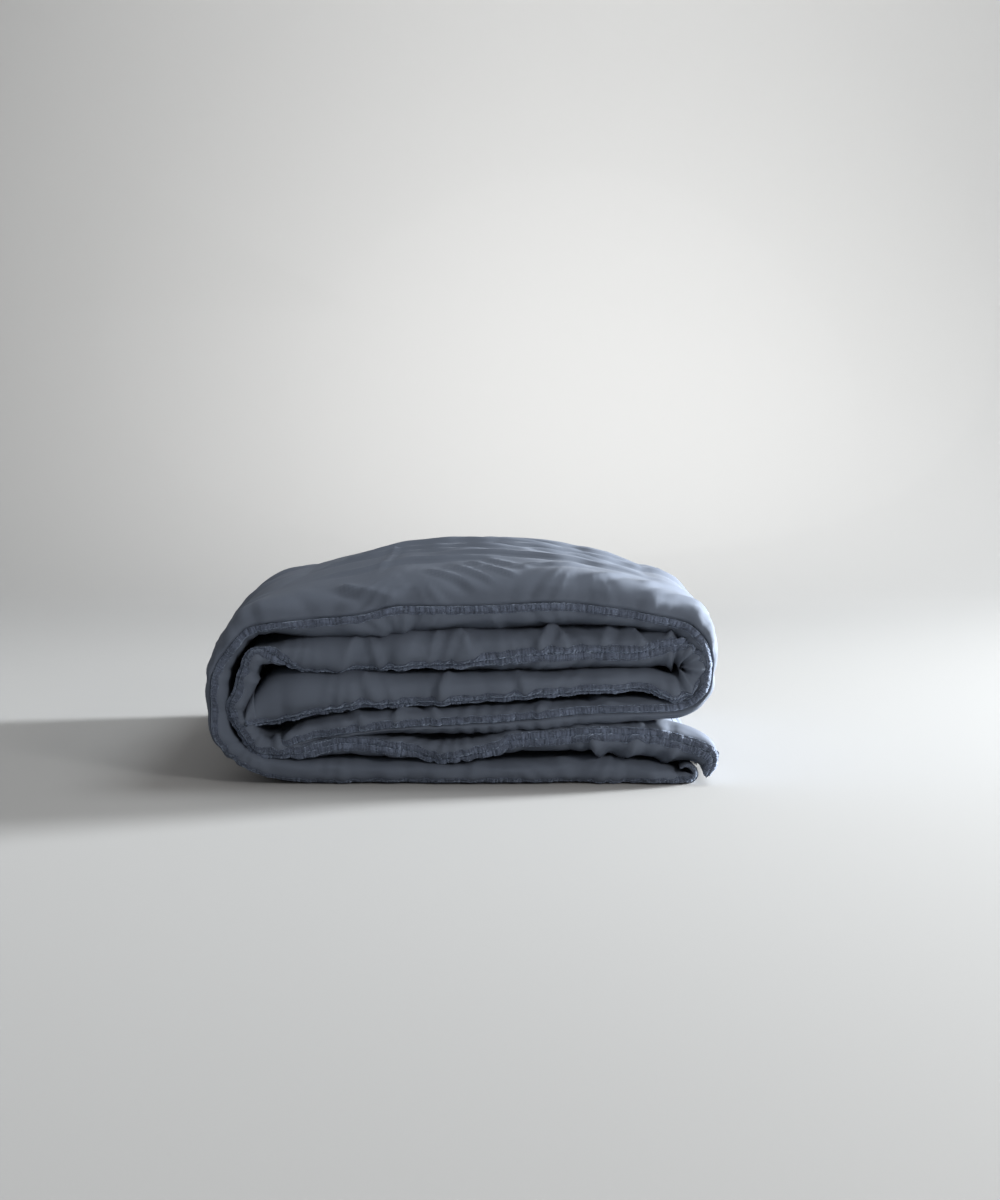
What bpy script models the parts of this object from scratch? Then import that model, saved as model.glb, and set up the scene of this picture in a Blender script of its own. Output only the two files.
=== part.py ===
"""A filled duvet in its washed cotton cover, folded for the shelf.

The duvet is folded in half across its width, which lays one leaf on the other, and then in three
along its length: a bottom run, a wide bend at the left, a top run, a tight bend at the right, and a
middle run that ends inside. Leaf A is the outer one all the way and leaf B the inner one. Both side
hems lie at the front (-Y), and the half fold is at the back (+Y).

Metres, +Z up. The origin is the middle of the rectangle that the folded duvet stands on.
"""

import math

import bmesh
import bpy
from mathutils import Vector

# Overall sizes
FOLDED_WIDTH = 0.62  # X
FOLDED_DEPTH = 0.70  # Y, half of the duvet's 1.40 m width
COVER_CLOTH = 0.0010  # the cover's cotton, with its air
TICKING_CLOTH = 0.0008  # the insert's downproof case
PLY_GAP = 0.0007  # between cloth and what it lies on
LEAF_GAP = 0.0012  # between leaf A and leaf B
RUN_GAP = 0.0020  # between one run of the fold and the next

# Loft of each leaf where the stack presses on it, from the bottom run up
LOFT_A_BOTTOM = 0.038
LOFT_B_BOTTOM = 0.032
LOFT_A_MIDDLE = 0.036
LOFT_B_MIDDLE = 0.040
LOFT_B_TOP = 0.046
LOFT_A_TOP = 0.085  # at the crown
LOFT_A_SHOULDER = 0.052  # where the top run meets a bend
LOFT_A_LEFT_BEND = 0.028
LOFT_B_LEFT_BEND = 0.023
LOFT_A_RIGHT_BEND = 0.030
LOFT_B_RIGHT_BEND = 0.024
LOFT_END = 0.022  # both leaves, at the foot end
TURN_SHARE = 0.75  # leaf B's loft where the tight right bend starts and ends, as a share of its radius
TURN_EASE = 0.050  # over which leaf B thins before it

# Edges
HEM_WIDTH = 0.011
HEM_THICKNESS = 0.0020
FACING_WIDTH = 0.030  # the foot opening's two facings, which the buttons close
EDGE_THICKNESS = 0.0036  # of a leaf at its hem
FRONT_ROUNDING = 0.085  # from the side hem in to the full loft
END_ROUNDING = 0.100  # from the end hem in to the full loft
INSERT_SETBACK = 0.018  # from the hem in to the insert's piped edge
PIPING_WIDTH = 0.005
PIPING_THICKNESS = 0.0030
BACK_RADIUS = 0.046  # of the half fold's outside
BACK_INNER_RADIUS = 0.0022  # of the half fold's inside
FRONT_SAG = 0.11  # share of its height that the stack loses at the hems
SAG_REACH = 0.16  # how far in from the front that is felt

# Ends of the leaves
FOOT_A_SHORT = 0.020  # leaf A ends this much before leaf B at the foot
HEAD_A_SHORT = 0.040  # and at the head
HEAD_CLEARANCE = 0.005  # from the head end to the inside of the left bend
FOOT_SLOPE_LENGTH = 0.160  # over which the foot end falls from the full loft

# Insert
ROWS = 6  # stitched boxes along the length, with two across each leaf
STITCH_WIDTH = 0.0020  # gap between boxes along a stitched wall

# Closure and ties
BUTTONS_PER_LEAF = 3
BUTTON_RADIUS = 0.0075
BUTTON_THICKNESS = 0.0026
BUTTON_SIDES = 12
TIE_THICKNESS = 0.0009

# How finely the bends and runs are cut
LEFT_BEND_STEPS = 8
RIGHT_BEND_STEPS = 7
RUN_STEPS = 5
BACK_STEPS = 6  # even, so that a line runs down the middle of the half fold

# Heights of the line between the two leaves, worked out from the lofts below it
Z_BOTTOM = LOFT_A_BOTTOM + LEAF_GAP / 2
Z_MIDDLE = Z_BOTTOM + LOFT_B_BOTTOM + LEAF_GAP + RUN_GAP + LOFT_A_MIDDLE
Z_TOP = Z_MIDDLE + LOFT_B_MIDDLE + LEAF_GAP + RUN_GAP + LOFT_B_TOP
LEFT_RADIUS = (Z_TOP - Z_BOTTOM) / 2
RIGHT_RADIUS = (Z_TOP - Z_MIDDLE) / 2
X_LEFT = -FOLDED_WIDTH / 2 + LEFT_RADIUS + LOFT_A_LEFT_BEND + LEAF_GAP / 2
X_RIGHT = FOLDED_WIDTH / 2 - RIGHT_RADIUS - LOFT_A_RIGHT_BEND - LEAF_GAP / 2
X_FOOT = FOLDED_WIDTH / 2
X_HEAD = X_LEFT - LEFT_RADIUS + LOFT_B_LEFT_BEND + LEAF_GAP / 2 + HEAD_CLEARANCE

Y_FRONT = -FOLDED_DEPTH / 2
Y_BACK = FOLDED_DEPTH / 2 - BACK_RADIUS  # where the half fold starts to turn
LEAF_WIDTH = Y_BACK - Y_FRONT

# Lengths along the line between the leaves, from the foot end
S_LEFT = X_FOOT - X_LEFT
S_TOP = S_LEFT + math.pi * LEFT_RADIUS
S_RIGHT = S_TOP + X_RIGHT - X_LEFT
S_MIDDLE = S_RIGHT + math.pi * RIGHT_RADIUS
S_HEAD = S_MIDDLE + X_RIGHT - X_HEAD

# Each as (distance along the fold, value), eased from one to the next
S_CROWN = (S_TOP + S_RIGHT) / 2
S_LEFT_SIDE = (S_LEFT + S_TOP) / 2
S_RIGHT_SIDE = (S_RIGHT + S_MIDDLE) / 2
LOFTS_A = (
    (0, LOFT_END),
    (FOOT_SLOPE_LENGTH, LOFT_A_BOTTOM),
    (S_LEFT, LOFT_A_BOTTOM),
    (S_LEFT_SIDE, LOFT_A_LEFT_BEND),
    (S_TOP, LOFT_A_SHOULDER),
    (S_CROWN, LOFT_A_TOP),
    (S_RIGHT, LOFT_A_SHOULDER),
    (S_RIGHT_SIDE, LOFT_A_RIGHT_BEND),
    (S_MIDDLE, LOFT_A_MIDDLE),
)
LOFTS_B = (
    (0, LOFT_END),
    (FOOT_SLOPE_LENGTH, LOFT_B_BOTTOM),
    (S_LEFT, LOFT_B_BOTTOM),
    (S_LEFT_SIDE, LOFT_B_LEFT_BEND),
    (S_TOP, LOFT_B_LEFT_BEND),
    (S_CROWN, LOFT_B_TOP),
    (S_RIGHT - TURN_EASE, LOFT_B_TOP),
    (S_RIGHT, TURN_SHARE * RIGHT_RADIUS),
    (S_RIGHT_SIDE, LOFT_B_RIGHT_BEND),
    (S_MIDDLE, TURN_SHARE * RIGHT_RADIUS),
    (S_MIDDLE + TURN_EASE, LOFT_B_MIDDLE),
)
# The hem's place is 0 at its leaf's inner side and 1 at its outer side
HEMS_A = (
    (S_LEFT, 1.00),
    (S_LEFT_SIDE, 0.80),
    (S_TOP, 0.60),
    (S_CROWN, 0.45),
    (S_RIGHT, 0.60),
    (S_MIDDLE, 0.40),
)
HEMS_B = (
    (0, 0.30),
    (S_LEFT_SIDE, 0.50),
    (S_TOP, 0.60),
    (S_CROWN, 0.65),
    (S_RIGHT_SIDE, 0.40),
    (S_MIDDLE, 0.35),
)

# Colours: the cover's washed slate blue, and the parts inside
SLATE_COTTON = (0.105, 0.125, 0.165, 1)
WHITE_COTTON = (0.80, 0.79, 0.76, 1)
DOWN_WHITE = (0.88, 0.87, 0.84, 1)
SHELL_BUTTON = (0.60, 0.58, 0.54, 1)


def smooth(x):
    x = min(max(x, 0.0), 1.0)
    return x * x * (3 - 2 * x)


def eased(s, values):
    """A value that changes along the fold, between the two rows of its table that s lies between."""
    for before, after in zip(values, values[1:]):
        if s <= after[0]:
            return before[1] + (after[1] - before[1]) * smooth((s - before[0]) / (after[0] - before[0]))
    return values[-1][1]


def line_between_leaves(s):
    """The point (x, z) between the leaves at a distance from the foot end, and its normal to leaf A."""
    if s < S_LEFT:
        return X_FOOT - s, eased(s, LOFTS_A) + LEAF_GAP / 2, 0.0, -1.0
    if s < S_TOP:
        turn = (s - S_LEFT) / LEFT_RADIUS
        out_x, out_z = -math.sin(turn), -math.cos(turn)
        return X_LEFT + LEFT_RADIUS * out_x, Z_BOTTOM + LEFT_RADIUS * (1 + out_z), out_x, out_z
    if s < S_RIGHT:
        return X_LEFT + s - S_TOP, Z_TOP, 0.0, 1.0
    if s < S_MIDDLE:
        turn = (s - S_RIGHT) / RIGHT_RADIUS
        out_x, out_z = math.sin(turn), math.cos(turn)
        return X_RIGHT + RIGHT_RADIUS * out_x, Z_MIDDLE + RIGHT_RADIUS * (1 + out_z), out_x, out_z
    return X_RIGHT - (s - S_MIDDLE), Z_MIDDLE, 0.0, -1.0


def rounding(distance, reach):
    """Share of the full loft at a distance in from a hem."""
    r = min(max((distance - HEM_WIDTH) / (reach - HEM_WIDTH), 0.0), 1.0)
    return math.sqrt(1 - (1 - r) ** 2)


def sagged(point):
    """The point, lower near the front, where the hems hold less filling."""
    share = FRONT_SAG * (1 - smooth((point.y - Y_FRONT) / SAG_REACH))
    return Vector((point.x, point.y, point.z * (1 - share)))


def steps(start, end, count):
    return [start + (end - start) * i / count for i in range(count)]


def edge_lines(border):
    """Distances in from an edge of the cover: the edge, its border, and the insert's piped edge."""
    piping = border + INSERT_SETBACK
    return [0.0, border, piping, piping + PIPING_WIDTH]


def length_lines():
    """Distances along the fold where every piece has an edge line, and the rows' borders among them."""
    foot, head = edge_lines(FACING_WIDTH), edge_lines(HEM_WIDTH)
    lines = foot + steps(END_ROUNDING, S_LEFT, RUN_STEPS) + steps(S_LEFT, S_TOP, LEFT_BEND_STEPS)
    lines += steps(S_TOP, S_RIGHT, RUN_STEPS) + steps(S_RIGHT, S_MIDDLE, RIGHT_BEND_STEPS)
    lines += steps(S_MIDDLE, S_HEAD - END_ROUNDING, RUN_STEPS - 1) + [S_HEAD - END_ROUNDING]
    lines += [S_HEAD - distance for distance in reversed(head)]
    first, last = foot[3], S_HEAD - head[3]
    borders = [first]
    for row in range(1, ROWS):
        ideal = first + (last - first) * row / ROWS
        nearest = min(lines, key=lambda line: abs(line - ideal))
        lines[lines.index(nearest)] = ideal
        borders.append(ideal)
    return sorted(lines), borders + [last]


def width_lines():
    """The same across one leaf: distances in from its side hem."""
    hem = edge_lines(HEM_WIDTH)
    middle = (hem[3] + LEAF_WIDTH) / 2
    return hem + [(hem[3] + FRONT_ROUNDING) / 2, FRONT_ROUNDING, SAG_REACH, middle, LEAF_WIDTH]


class Leaves:
    """Outer and inner surface points of the folded duvet, on one grid of lines that all pieces share.

    Lines i run along the fold from foot to head. Lines j run from leaf A's side hem, round the half
    fold at the back, to leaf B's side hem.
    """

    def __init__(self):
        self.along, self.row_borders = length_lines()
        leaf = width_lines()
        turns = [math.pi * k / BACK_STEPS for k in range(1, BACK_STEPS)]
        self.across = [("A", v) for v in leaf] + [("back", t) for t in turns]
        self.across += [("B", v) for v in reversed(leaf)]
        self.back_line = len(leaf) + BACK_STEPS // 2 - 1
        pairs = [[self.surface_pair(s, side, v) for side, v in self.across] for s in self.along]
        self.outer = [[outer for outer, _ in row] for row in pairs]
        self.inner = [[inner for _, inner in row] for row in pairs]

    def leaf_distance(self, s, side, v):
        """s with both ends drawn in: most at leaf A's hem and not at all at leaf B's, as in a skewed fold."""
        share = {"A": 1 - v / LEAF_WIDTH / 2, "B": v / LEAF_WIDTH / 2}.get(side, 0.5)
        foot, head = FOOT_A_SHORT * share, HEAD_A_SHORT * share
        if s < S_LEFT:
            return foot + s * (S_LEFT - foot) / S_LEFT
        if s > S_MIDDLE:
            return S_MIDDLE + (s - S_MIDDLE) * (S_HEAD - head - S_MIDDLE) / (S_HEAD - S_MIDDLE)
        return s

    def surface_pair(self, s, side, v):
        """The points on the leaf's outer and inner side for one crossing of the lines."""
        turn = {"A": 0.0, "B": math.pi}.get(side, v)
        place = self.leaf_distance(s, side, v)
        x, z, out_x, out_z = line_between_leaves(place)
        centre, out = Vector((x, 0, z)), Vector((out_x, 0, out_z))
        lofts, hems = (LOFTS_A, HEMS_A) if turn <= math.pi / 2 else (LOFTS_B, HEMS_B)
        loft, hem = eased(place, lofts), eased(place, hems)
        full = rounding(min(s, S_HEAD - s), END_ROUNDING)
        if side != "back":
            full *= rounding(v, FRONT_ROUNDING)
        inner, outer = self.offsets(loft, hem, full)
        y = Y_BACK if side == "back" else Y_FRONT + v
        back = Vector((0, 1, 0)) * math.sin(turn)
        depth = (outer - inner) / loft
        outer_point = centre + out * outer * math.cos(turn) + back * BACK_RADIUS * depth
        inner_point = centre + out * inner * math.cos(turn) + back * BACK_INNER_RADIUS
        shift = Vector((0, y, 0))
        return sagged(outer_point + shift), sagged(inner_point + shift)

    def offsets(self, loft, hem, full):
        """Distances of a leaf's inner and outer side from the line between the leaves."""
        filling = loft - EDGE_THICKNESS
        inner = LEAF_GAP / 2 + hem * filling * (1 - full)
        outer = LEAF_GAP / 2 + hem * filling + (1 - hem) * filling * full + EDGE_THICKNESS
        return inner, outer

    def under_outer(self, depth):
        """The grid of points at a depth below the outer side."""
        return self.moved(self.outer, self.inner, depth)

    def under_inner(self, depth):
        return self.moved(self.inner, self.outer, depth)

    def moved(self, start, towards, depth):
        rows = []
        for row, other in zip(start, towards):
            rows.append([p + (q - p).normalized() * depth for p, q in zip(row, other)])
        return rows

    def middle(self, hem_thickness):
        """Two grids, each half a hem's thickness from the middle of the leaf."""
        above, below = [], []
        for row, other in zip(self.outer, self.inner):
            half = [(p - q).normalized() * hem_thickness / 2 for p, q in zip(row, other)]
            mid = [(p + q) / 2 for p, q in zip(row, other)]
            above.append([m + h for m, h in zip(mid, half)])
            below.append([m - h for m, h in zip(mid, half)])
        return above, below


def patch(grid, i_range, j_range, trim):
    """The grid's points between two lines each way, with each rim drawn in by trim along its own line."""
    i_first, i_last = i_range
    j_first, j_last = j_range
    rows = [[grid[i][j].copy() for j in range(j_first, j_last + 1)] for i in range(i_first, i_last + 1)]
    foot, head, start, end = trim
    for j in range(len(rows[0])):
        rows[0][j] = drawn_in(rows[0][j], rows[1][j], foot)
        rows[-1][j] = drawn_in(rows[-1][j], rows[-2][j], head)
    for row in rows:
        row[0] = drawn_in(row[0], row[1], start)
        row[-1] = drawn_in(row[-1], row[-2], end)
    return rows


def drawn_in(point, towards, distance):
    return point + (towards - point).normalized() * distance if distance else point


def cloth_between(name, upper, lower, i_range, j_range, trim, material):
    """A closed solid between two grids, over part of the lines."""
    top = patch(upper, i_range, j_range, trim)
    bottom = patch(lower, i_range, j_range, trim)
    rows, columns = len(top), len(top[0])
    mesh = bmesh.new()
    above = [[mesh.verts.new(p) for p in row] for row in top]
    below = [[mesh.verts.new(p) for p in row] for row in bottom]
    for i in range(rows - 1):
        for j in range(columns - 1):
            add_cell(mesh, above, i, j)
            add_cell(mesh, below, i, j)
    rim = [(i, 0) for i in range(rows)] + [(rows - 1, j) for j in range(1, columns)]
    rim += [(i, columns - 1) for i in range(rows - 2, -1, -1)] + [(0, j) for j in range(columns - 2, 0, -1)]
    for (i, j), (k, m) in zip(rim, rim[1:] + rim[:1]):
        mesh.faces.new((above[i][j], above[k][m], below[k][m], below[i][j]))
    return finished(name, mesh, material)


def add_cell(mesh, verts, i, j):
    """Two triangles, cut along the same diagonal in every piece, so that neighbours nest."""
    a, b, c, d = verts[i][j], verts[i + 1][j], verts[i + 1][j + 1], verts[i][j + 1]
    mesh.faces.new((a, b, c))
    mesh.faces.new((a, c, d))


def finished(name, mesh, material):
    bmesh.ops.recalc_face_normals(mesh, faces=mesh.faces)
    data = bpy.data.meshes.new(name)
    mesh.to_mesh(data)
    mesh.free()
    data.shade_smooth()
    data.materials.append(material)
    made = bpy.data.objects.new(name, data)
    bpy.context.scene.collection.objects.link(made)
    return made


def cloth_material(name, colour, roughness):
    material = bpy.data.materials.new(name)
    material.use_nodes = True
    shader = material.node_tree.nodes["Principled BSDF"]
    shader.inputs["Base Color"].default_value = colour
    shader.inputs["Roughness"].default_value = roughness
    shader.inputs["Metallic"].default_value = 0
    return material


def make_cover(leaves, cotton):
    """The two cotton panels, the side hems, the head seam and the foot's two facings."""
    last_i, last_j = len(leaves.along) - 1, len(leaves.across) - 1
    gap = PLY_GAP
    panel_lines = ((1, last_i - 1), (1, last_j - 1), (0, 0, 0, 0))
    outer = leaves.under_outer(0), leaves.under_outer(COVER_CLOTH)
    inner = leaves.under_inner(COVER_CLOTH), leaves.under_inner(0)
    cloth_between("cover_outer_panel", *outer, *panel_lines, cotton)
    cloth_between("cover_inner_panel", *inner, *panel_lines, cotton)
    above, below = leaves.middle(HEM_THICKNESS)
    everywhere = (1, last_i - 1)
    cloth_between("side_hem_leaf_a", above, below, everywhere, (0, 1), (0, 0, 0, gap), cotton)
    cloth_between("side_hem_leaf_b", above, below, everywhere, (last_j - 1, last_j), (0, 0, gap, 0), cotton)
    cloth_between("head_seam", above, below, (last_i - 1, last_i), (0, last_j), (gap, 0, 0, 0), cotton)
    for name, facing in foot_facings(leaves):
        cloth_between(name, *facing, (0, 1), (0, last_j), (0, gap, 0, 0), cotton)


def foot_facings(leaves):
    """The two facings of the cover's opening, one on each side of the leaf's middle at the foot end."""
    above, below = leaves.middle(HEM_THICKNESS)
    near_above, near_below = leaves.middle(PLY_GAP)
    return ("foot_facing_outer", (above, near_above)), ("foot_facing_inner", (near_below, below))


def make_insert(leaves, ticking, down):
    """The insert's case of two panels, its piped edge, and the stitched boxes of filling."""
    last_i, last_j = len(leaves.along) - 1, len(leaves.across) - 1
    skin = COVER_CLOTH + PLY_GAP
    under_skin = skin + TICKING_CLOTH
    gaps = (PLY_GAP, PLY_GAP, PLY_GAP, PLY_GAP)
    lines = ((3, last_i - 3), (3, last_j - 3), gaps)
    outer = leaves.under_outer(skin), leaves.under_outer(under_skin)
    inner = leaves.under_inner(under_skin), leaves.under_inner(skin)
    cloth_between("ticking_outer", *outer, *lines, ticking)
    cloth_between("ticking_inner", *inner, *lines, ticking)
    make_piping(leaves, ticking)
    fill_depth = under_skin + PLY_GAP
    filling = leaves.under_outer(fill_depth), leaves.under_inner(fill_depth)
    rows = [leaves.along.index(border) for border in leaves.row_borders]
    middle = len(width_lines()) - 2
    columns = [3, middle, leaves.back_line, last_j - middle, last_j - 3]
    wall, rim = STITCH_WIDTH / 2, 2 * PLY_GAP
    for r, i_range in enumerate(zip(rows, rows[1:]), 1):
        foot, head = (rim if r == 1 else wall), (rim if r == ROWS else wall)
        for c, j_range in enumerate(zip(columns, columns[1:]), 1):
            start, end = (rim if c == 1 else wall), (rim if c == len(columns) - 1 else wall)
            name = f"fill_row{r}_box{c}"
            cloth_between(name, *filling, i_range, j_range, (foot, head, start, end), down)


def make_piping(leaves, ticking):
    """The bound edge that closes the insert's case, a strip along each of its four sides."""
    last_i, last_j = len(leaves.along) - 1, len(leaves.across) - 1
    above, below = leaves.middle(PIPING_THICKNESS)
    whole = (2, last_j - 2)
    cloth_between("piping_foot", above, below, (2, 3), whole, (0, 0, 0, 0), ticking)
    cloth_between("piping_head", above, below, (last_i - 3, last_i - 2), whole, (0, 0, 0, 0), ticking)
    between, trim = (3, last_i - 3), (PLY_GAP, PLY_GAP, 0, 0)
    cloth_between("piping_leaf_a", above, below, between, (2, 3), trim, ticking)
    cloth_between("piping_leaf_b", above, below, between, (last_j - 3, last_j - 2), trim, ticking)


def make_buttons(leaves, shell):
    """Shell buttons on the inner facing of the foot opening, where the two leaves face each other."""
    last_j = len(leaves.across) - 1
    for leaf, side in (("a", (0, 1)), ("b", (last_j, last_j - 1))):
        for k in range(BUTTONS_PER_LEAF):
            share = (k + 0.5) / BUTTONS_PER_LEAF
            make_button(f"button_{leaf}{k + 1}", leaves, side, share * LEAF_WIDTH, shell)


def make_button(name, leaves, side, distance, shell):
    """One button, its back face a ply's gap off the facing."""
    edge, step = side[0], side[1] - side[0]
    widths = width_lines()
    k = max(n for n, w in enumerate(widths[:-1]) if w <= distance)
    share = (distance - widths[k]) / (widths[k + 1] - widths[k])
    mids = []
    for i in (0, 1):
        ends = []
        for j in (edge + k * step, edge + (k + 1) * step):
            ends.append((leaves.outer[i][j] + leaves.inner[i][j]) / 2)
        mids.append(ends[0].lerp(ends[1], share))
    inwards = leaves.inner[0][edge + k * step] - leaves.outer[0][edge + k * step]
    along = (mids[1] - mids[0]).normalized()
    across = Vector((0, 1, 0))
    face = along.cross(across).normalized()
    if face.dot(inwards) < 0:
        face = -face
    start = (mids[0] + mids[1]) / 2 + face * (HEM_THICKNESS / 2 + PLY_GAP)
    mesh = bmesh.new()
    rings = []
    for depth in (0, BUTTON_THICKNESS):
        ring = []
        for n in range(BUTTON_SIDES):
            angle = 2 * math.pi * n / BUTTON_SIDES
            spoke = along * math.cos(angle) + across * math.sin(angle)
            ring.append(mesh.verts.new(start + face * depth + spoke * BUTTON_RADIUS))
        rings.append(ring)
        mesh.faces.new(ring)
    for n in range(BUTTON_SIDES):
        m = (n + 1) % BUTTON_SIDES
        mesh.faces.new((rings[0][n], rings[0][m], rings[1][m], rings[1][n]))
    finished(name, mesh, shell)


def make_corner_ties(leaves, ticking):
    """A cotton tape in each corner, from the cover's hem to the insert's piping, as wide as the piping."""
    last_i, last_j = len(leaves.along) - 1, len(leaves.across) - 1
    above, below = leaves.middle(TIE_THICKNESS)
    trim = (0, 0, PLY_GAP, PLY_GAP)
    for end, i_range in (("foot", (2, 3)), ("head", (last_i - 3, last_i - 2))):
        cloth_between(f"tie_{end}_a", above, below, i_range, (1, 2), trim, ticking)
        cloth_between(f"tie_{end}_b", above, below, i_range, (last_j - 2, last_j - 1), trim, ticking)


def main():
    for old in list(bpy.data.objects):
        bpy.data.objects.remove(old)
    leaves = Leaves()
    cotton = cloth_material("washed_cotton", SLATE_COTTON, 0.9)
    ticking = cloth_material("ticking", WHITE_COTTON, 0.8)
    down = cloth_material("down_filling", DOWN_WHITE, 1.0)
    shell = cloth_material("shell_button", SHELL_BUTTON, 0.3)
    make_cover(leaves, cotton)
    make_insert(leaves, ticking, down)
    make_buttons(leaves, shell)
    make_corner_ties(leaves, ticking)


main()
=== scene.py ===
"""Looks of a duvet in its washed cotton cover, folded for the shelf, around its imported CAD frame.

The duvet is folded in half, which lays leaf B on leaf A, and then in three. Lengths along the fold
start at the foot opening under the stack and end at the head, inside. Widths start at a side hem.
Metres throughout, +Z up, hems at the front (-Y).
"""

import functools
import math

import bmesh
import bpy
import numpy as np
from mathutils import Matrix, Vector


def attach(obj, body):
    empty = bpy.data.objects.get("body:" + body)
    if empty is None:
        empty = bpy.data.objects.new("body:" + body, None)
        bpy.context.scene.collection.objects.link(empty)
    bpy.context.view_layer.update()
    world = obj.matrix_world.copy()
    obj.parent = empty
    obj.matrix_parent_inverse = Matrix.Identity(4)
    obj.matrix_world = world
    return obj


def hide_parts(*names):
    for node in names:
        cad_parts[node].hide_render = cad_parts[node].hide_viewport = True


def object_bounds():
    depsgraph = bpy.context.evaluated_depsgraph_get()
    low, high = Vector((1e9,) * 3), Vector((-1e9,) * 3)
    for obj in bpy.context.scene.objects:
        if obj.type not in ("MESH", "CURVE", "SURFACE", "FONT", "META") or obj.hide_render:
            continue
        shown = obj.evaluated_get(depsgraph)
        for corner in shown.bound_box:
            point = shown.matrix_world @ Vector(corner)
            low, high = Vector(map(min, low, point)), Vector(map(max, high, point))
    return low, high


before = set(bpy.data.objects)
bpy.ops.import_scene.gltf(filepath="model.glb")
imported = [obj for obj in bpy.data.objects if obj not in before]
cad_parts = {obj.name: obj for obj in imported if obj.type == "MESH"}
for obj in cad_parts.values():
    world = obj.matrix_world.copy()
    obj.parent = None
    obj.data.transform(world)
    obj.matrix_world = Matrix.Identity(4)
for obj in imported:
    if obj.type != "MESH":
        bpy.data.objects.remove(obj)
CAD_LOW, CAD_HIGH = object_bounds()

bl_info = {
    "name": "Folded duvet",
    "version": (1, 0, 0),
    "blender": (4, 5, 0),
    "location": "3D Viewport > Sidebar > Duvet",
    "description": "Makes a folded duvet in a washed cotton cover",
    "category": "Object",
}

# Sizes of the frame
LEAF_GAP = 0.0012
HEM_WIDTH = 0.011
FACING_WIDTH = 0.030
EDGE_THICKNESS = 0.0036
END_ROUNDING = 0.100
BACK_RADIUS = 0.046
BACK_INNER_RADIUS = 0.0022
FOOT_A_SHORT = 0.010  # the frame's leaf A is 10 mm shorter, which would leave a gap in view
HEAD_A_SHORT = 0.040
LEFT_RADIUS = 0.0802
RIGHT_RADIUS = 0.0446
Z_BOTTOM = 0.0386
Z_MIDDLE = 0.1098
Z_TOP = 0.1990
X_LEFT = -0.2012
X_RIGHT = 0.2348
X_FOOT = 0.31
Y_FRONT = CAD_LOW.y
Y_BACK = CAD_HIGH.y - BACK_RADIUS
LEAF_WIDTH = Y_BACK - Y_FRONT
S_LEFT = X_FOOT - X_LEFT
S_TOP = S_LEFT + math.pi * LEFT_RADIUS
S_RIGHT = S_TOP + X_RIGHT - X_LEFT
S_MIDDLE = S_RIGHT + math.pi * RIGHT_RADIUS
S_HEAD = S_MIDDLE + 0.4876
S_CROWN = (S_TOP + S_RIGHT) / 2
S_LEFT_SIDE = (S_LEFT + S_TOP) / 2
S_RIGHT_SIDE = (S_RIGHT + S_MIDDLE) / 2

# Loft of each leaf inside the stack, as (length along the fold, loft), and where its hem lies in it
HEM_RISE = 0.5
LOFTS_A = (
    (0, 0.022),
    (0.160, 0.038),
    (S_LEFT, 0.038),
    (S_LEFT_SIDE, 0.028),
    (S_TOP, 0.044),
    (S_CROWN, 0.080),
    (S_RIGHT, 0.044),
    (S_RIGHT_SIDE, 0.030),
    (S_MIDDLE, 0.036),
)
LOFTS_B = (
    (0, 0.022),
    (0.160, 0.032),
    (S_LEFT, 0.032),
    (S_LEFT_SIDE, 0.023),
    (S_TOP, 0.023),
    (S_CROWN, 0.046),
    (S_RIGHT - 0.050, 0.046),
    (S_RIGHT, 0.75 * RIGHT_RADIUS),
    (S_RIGHT_SIDE, 0.024),
    (S_MIDDLE, 0.75 * RIGHT_RADIUS),
    (S_MIDDLE + 0.050, 0.040),
)

# Where each leaf's side hem lies at the front of the stack, in millimetres: length along the fold,
# x, z, and how far the leaf's outer and inner panel stand from the hem behind it.
HEM_A = (
    (0, 268, 20, 2, 3), (9, 275, 27, 2, 3), (22, 288, 22, 2, 4), (34, 292, 9, 2, 6),
    (50, 276, 3, 3, 12), (75, 250, 3, 3, 22), (141, 175, 3, 3, 30),
    (262, 48, 3, 3, 26), (338, -28, 3, 3, 25), (433, -123, 3, 3, 29), (499, -189, 2.5, 2.5, 29),
    (532, -237, 8.5, 3, 26), (560, -262, 20, 3, 24), (588, -284, 35, 4, 21), (616, -303, 59, 5, 20),
    (637, -305, 88, 7, 20), (672, -304, 130, 8, 19), (693, -297, 150, 12, 16),
    (721, -281, 170, 16, 14), (749, -263, 192, 22, 12), (775, -235, 198, 30, 13),
    (800, -195, 202, 34, 28), (855, -123, 208, 38, 38), (890, -81, 219, 36, 43),
    (971, 7, 219, 40, 38), (1090, 126, 224, 38, 34), (1165, 201, 215, 36, 25),
    (1204, 240, 207, 33, 24), (1235, 280, 198, 26, 22), (1256, 298, 180, 15, 18),
    (1270, 305, 165, 8, 17), (1290, 307, 140, 4, 16), (1308, 303, 118, 8, 14),
    (1324, 290, 101, 10, 14), (1341, 268, 90, 12, 13), (1365, 236, 90, 12, 16),
    (1410, 170, 88.5, 18, 17), (1459, 115, 84, 18, 17), (1525, 49, 78, 16, 19),
    (1594, -20, 73.5, 13, 20), (1655, -81, 71, 10, 22), (1719, -145, 63, 9, 24),
    (1764, -190, 55, 8, 24), (1787, -215, 48, 7, 14), (1827, -240, 44, 2, 2),
)
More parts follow.
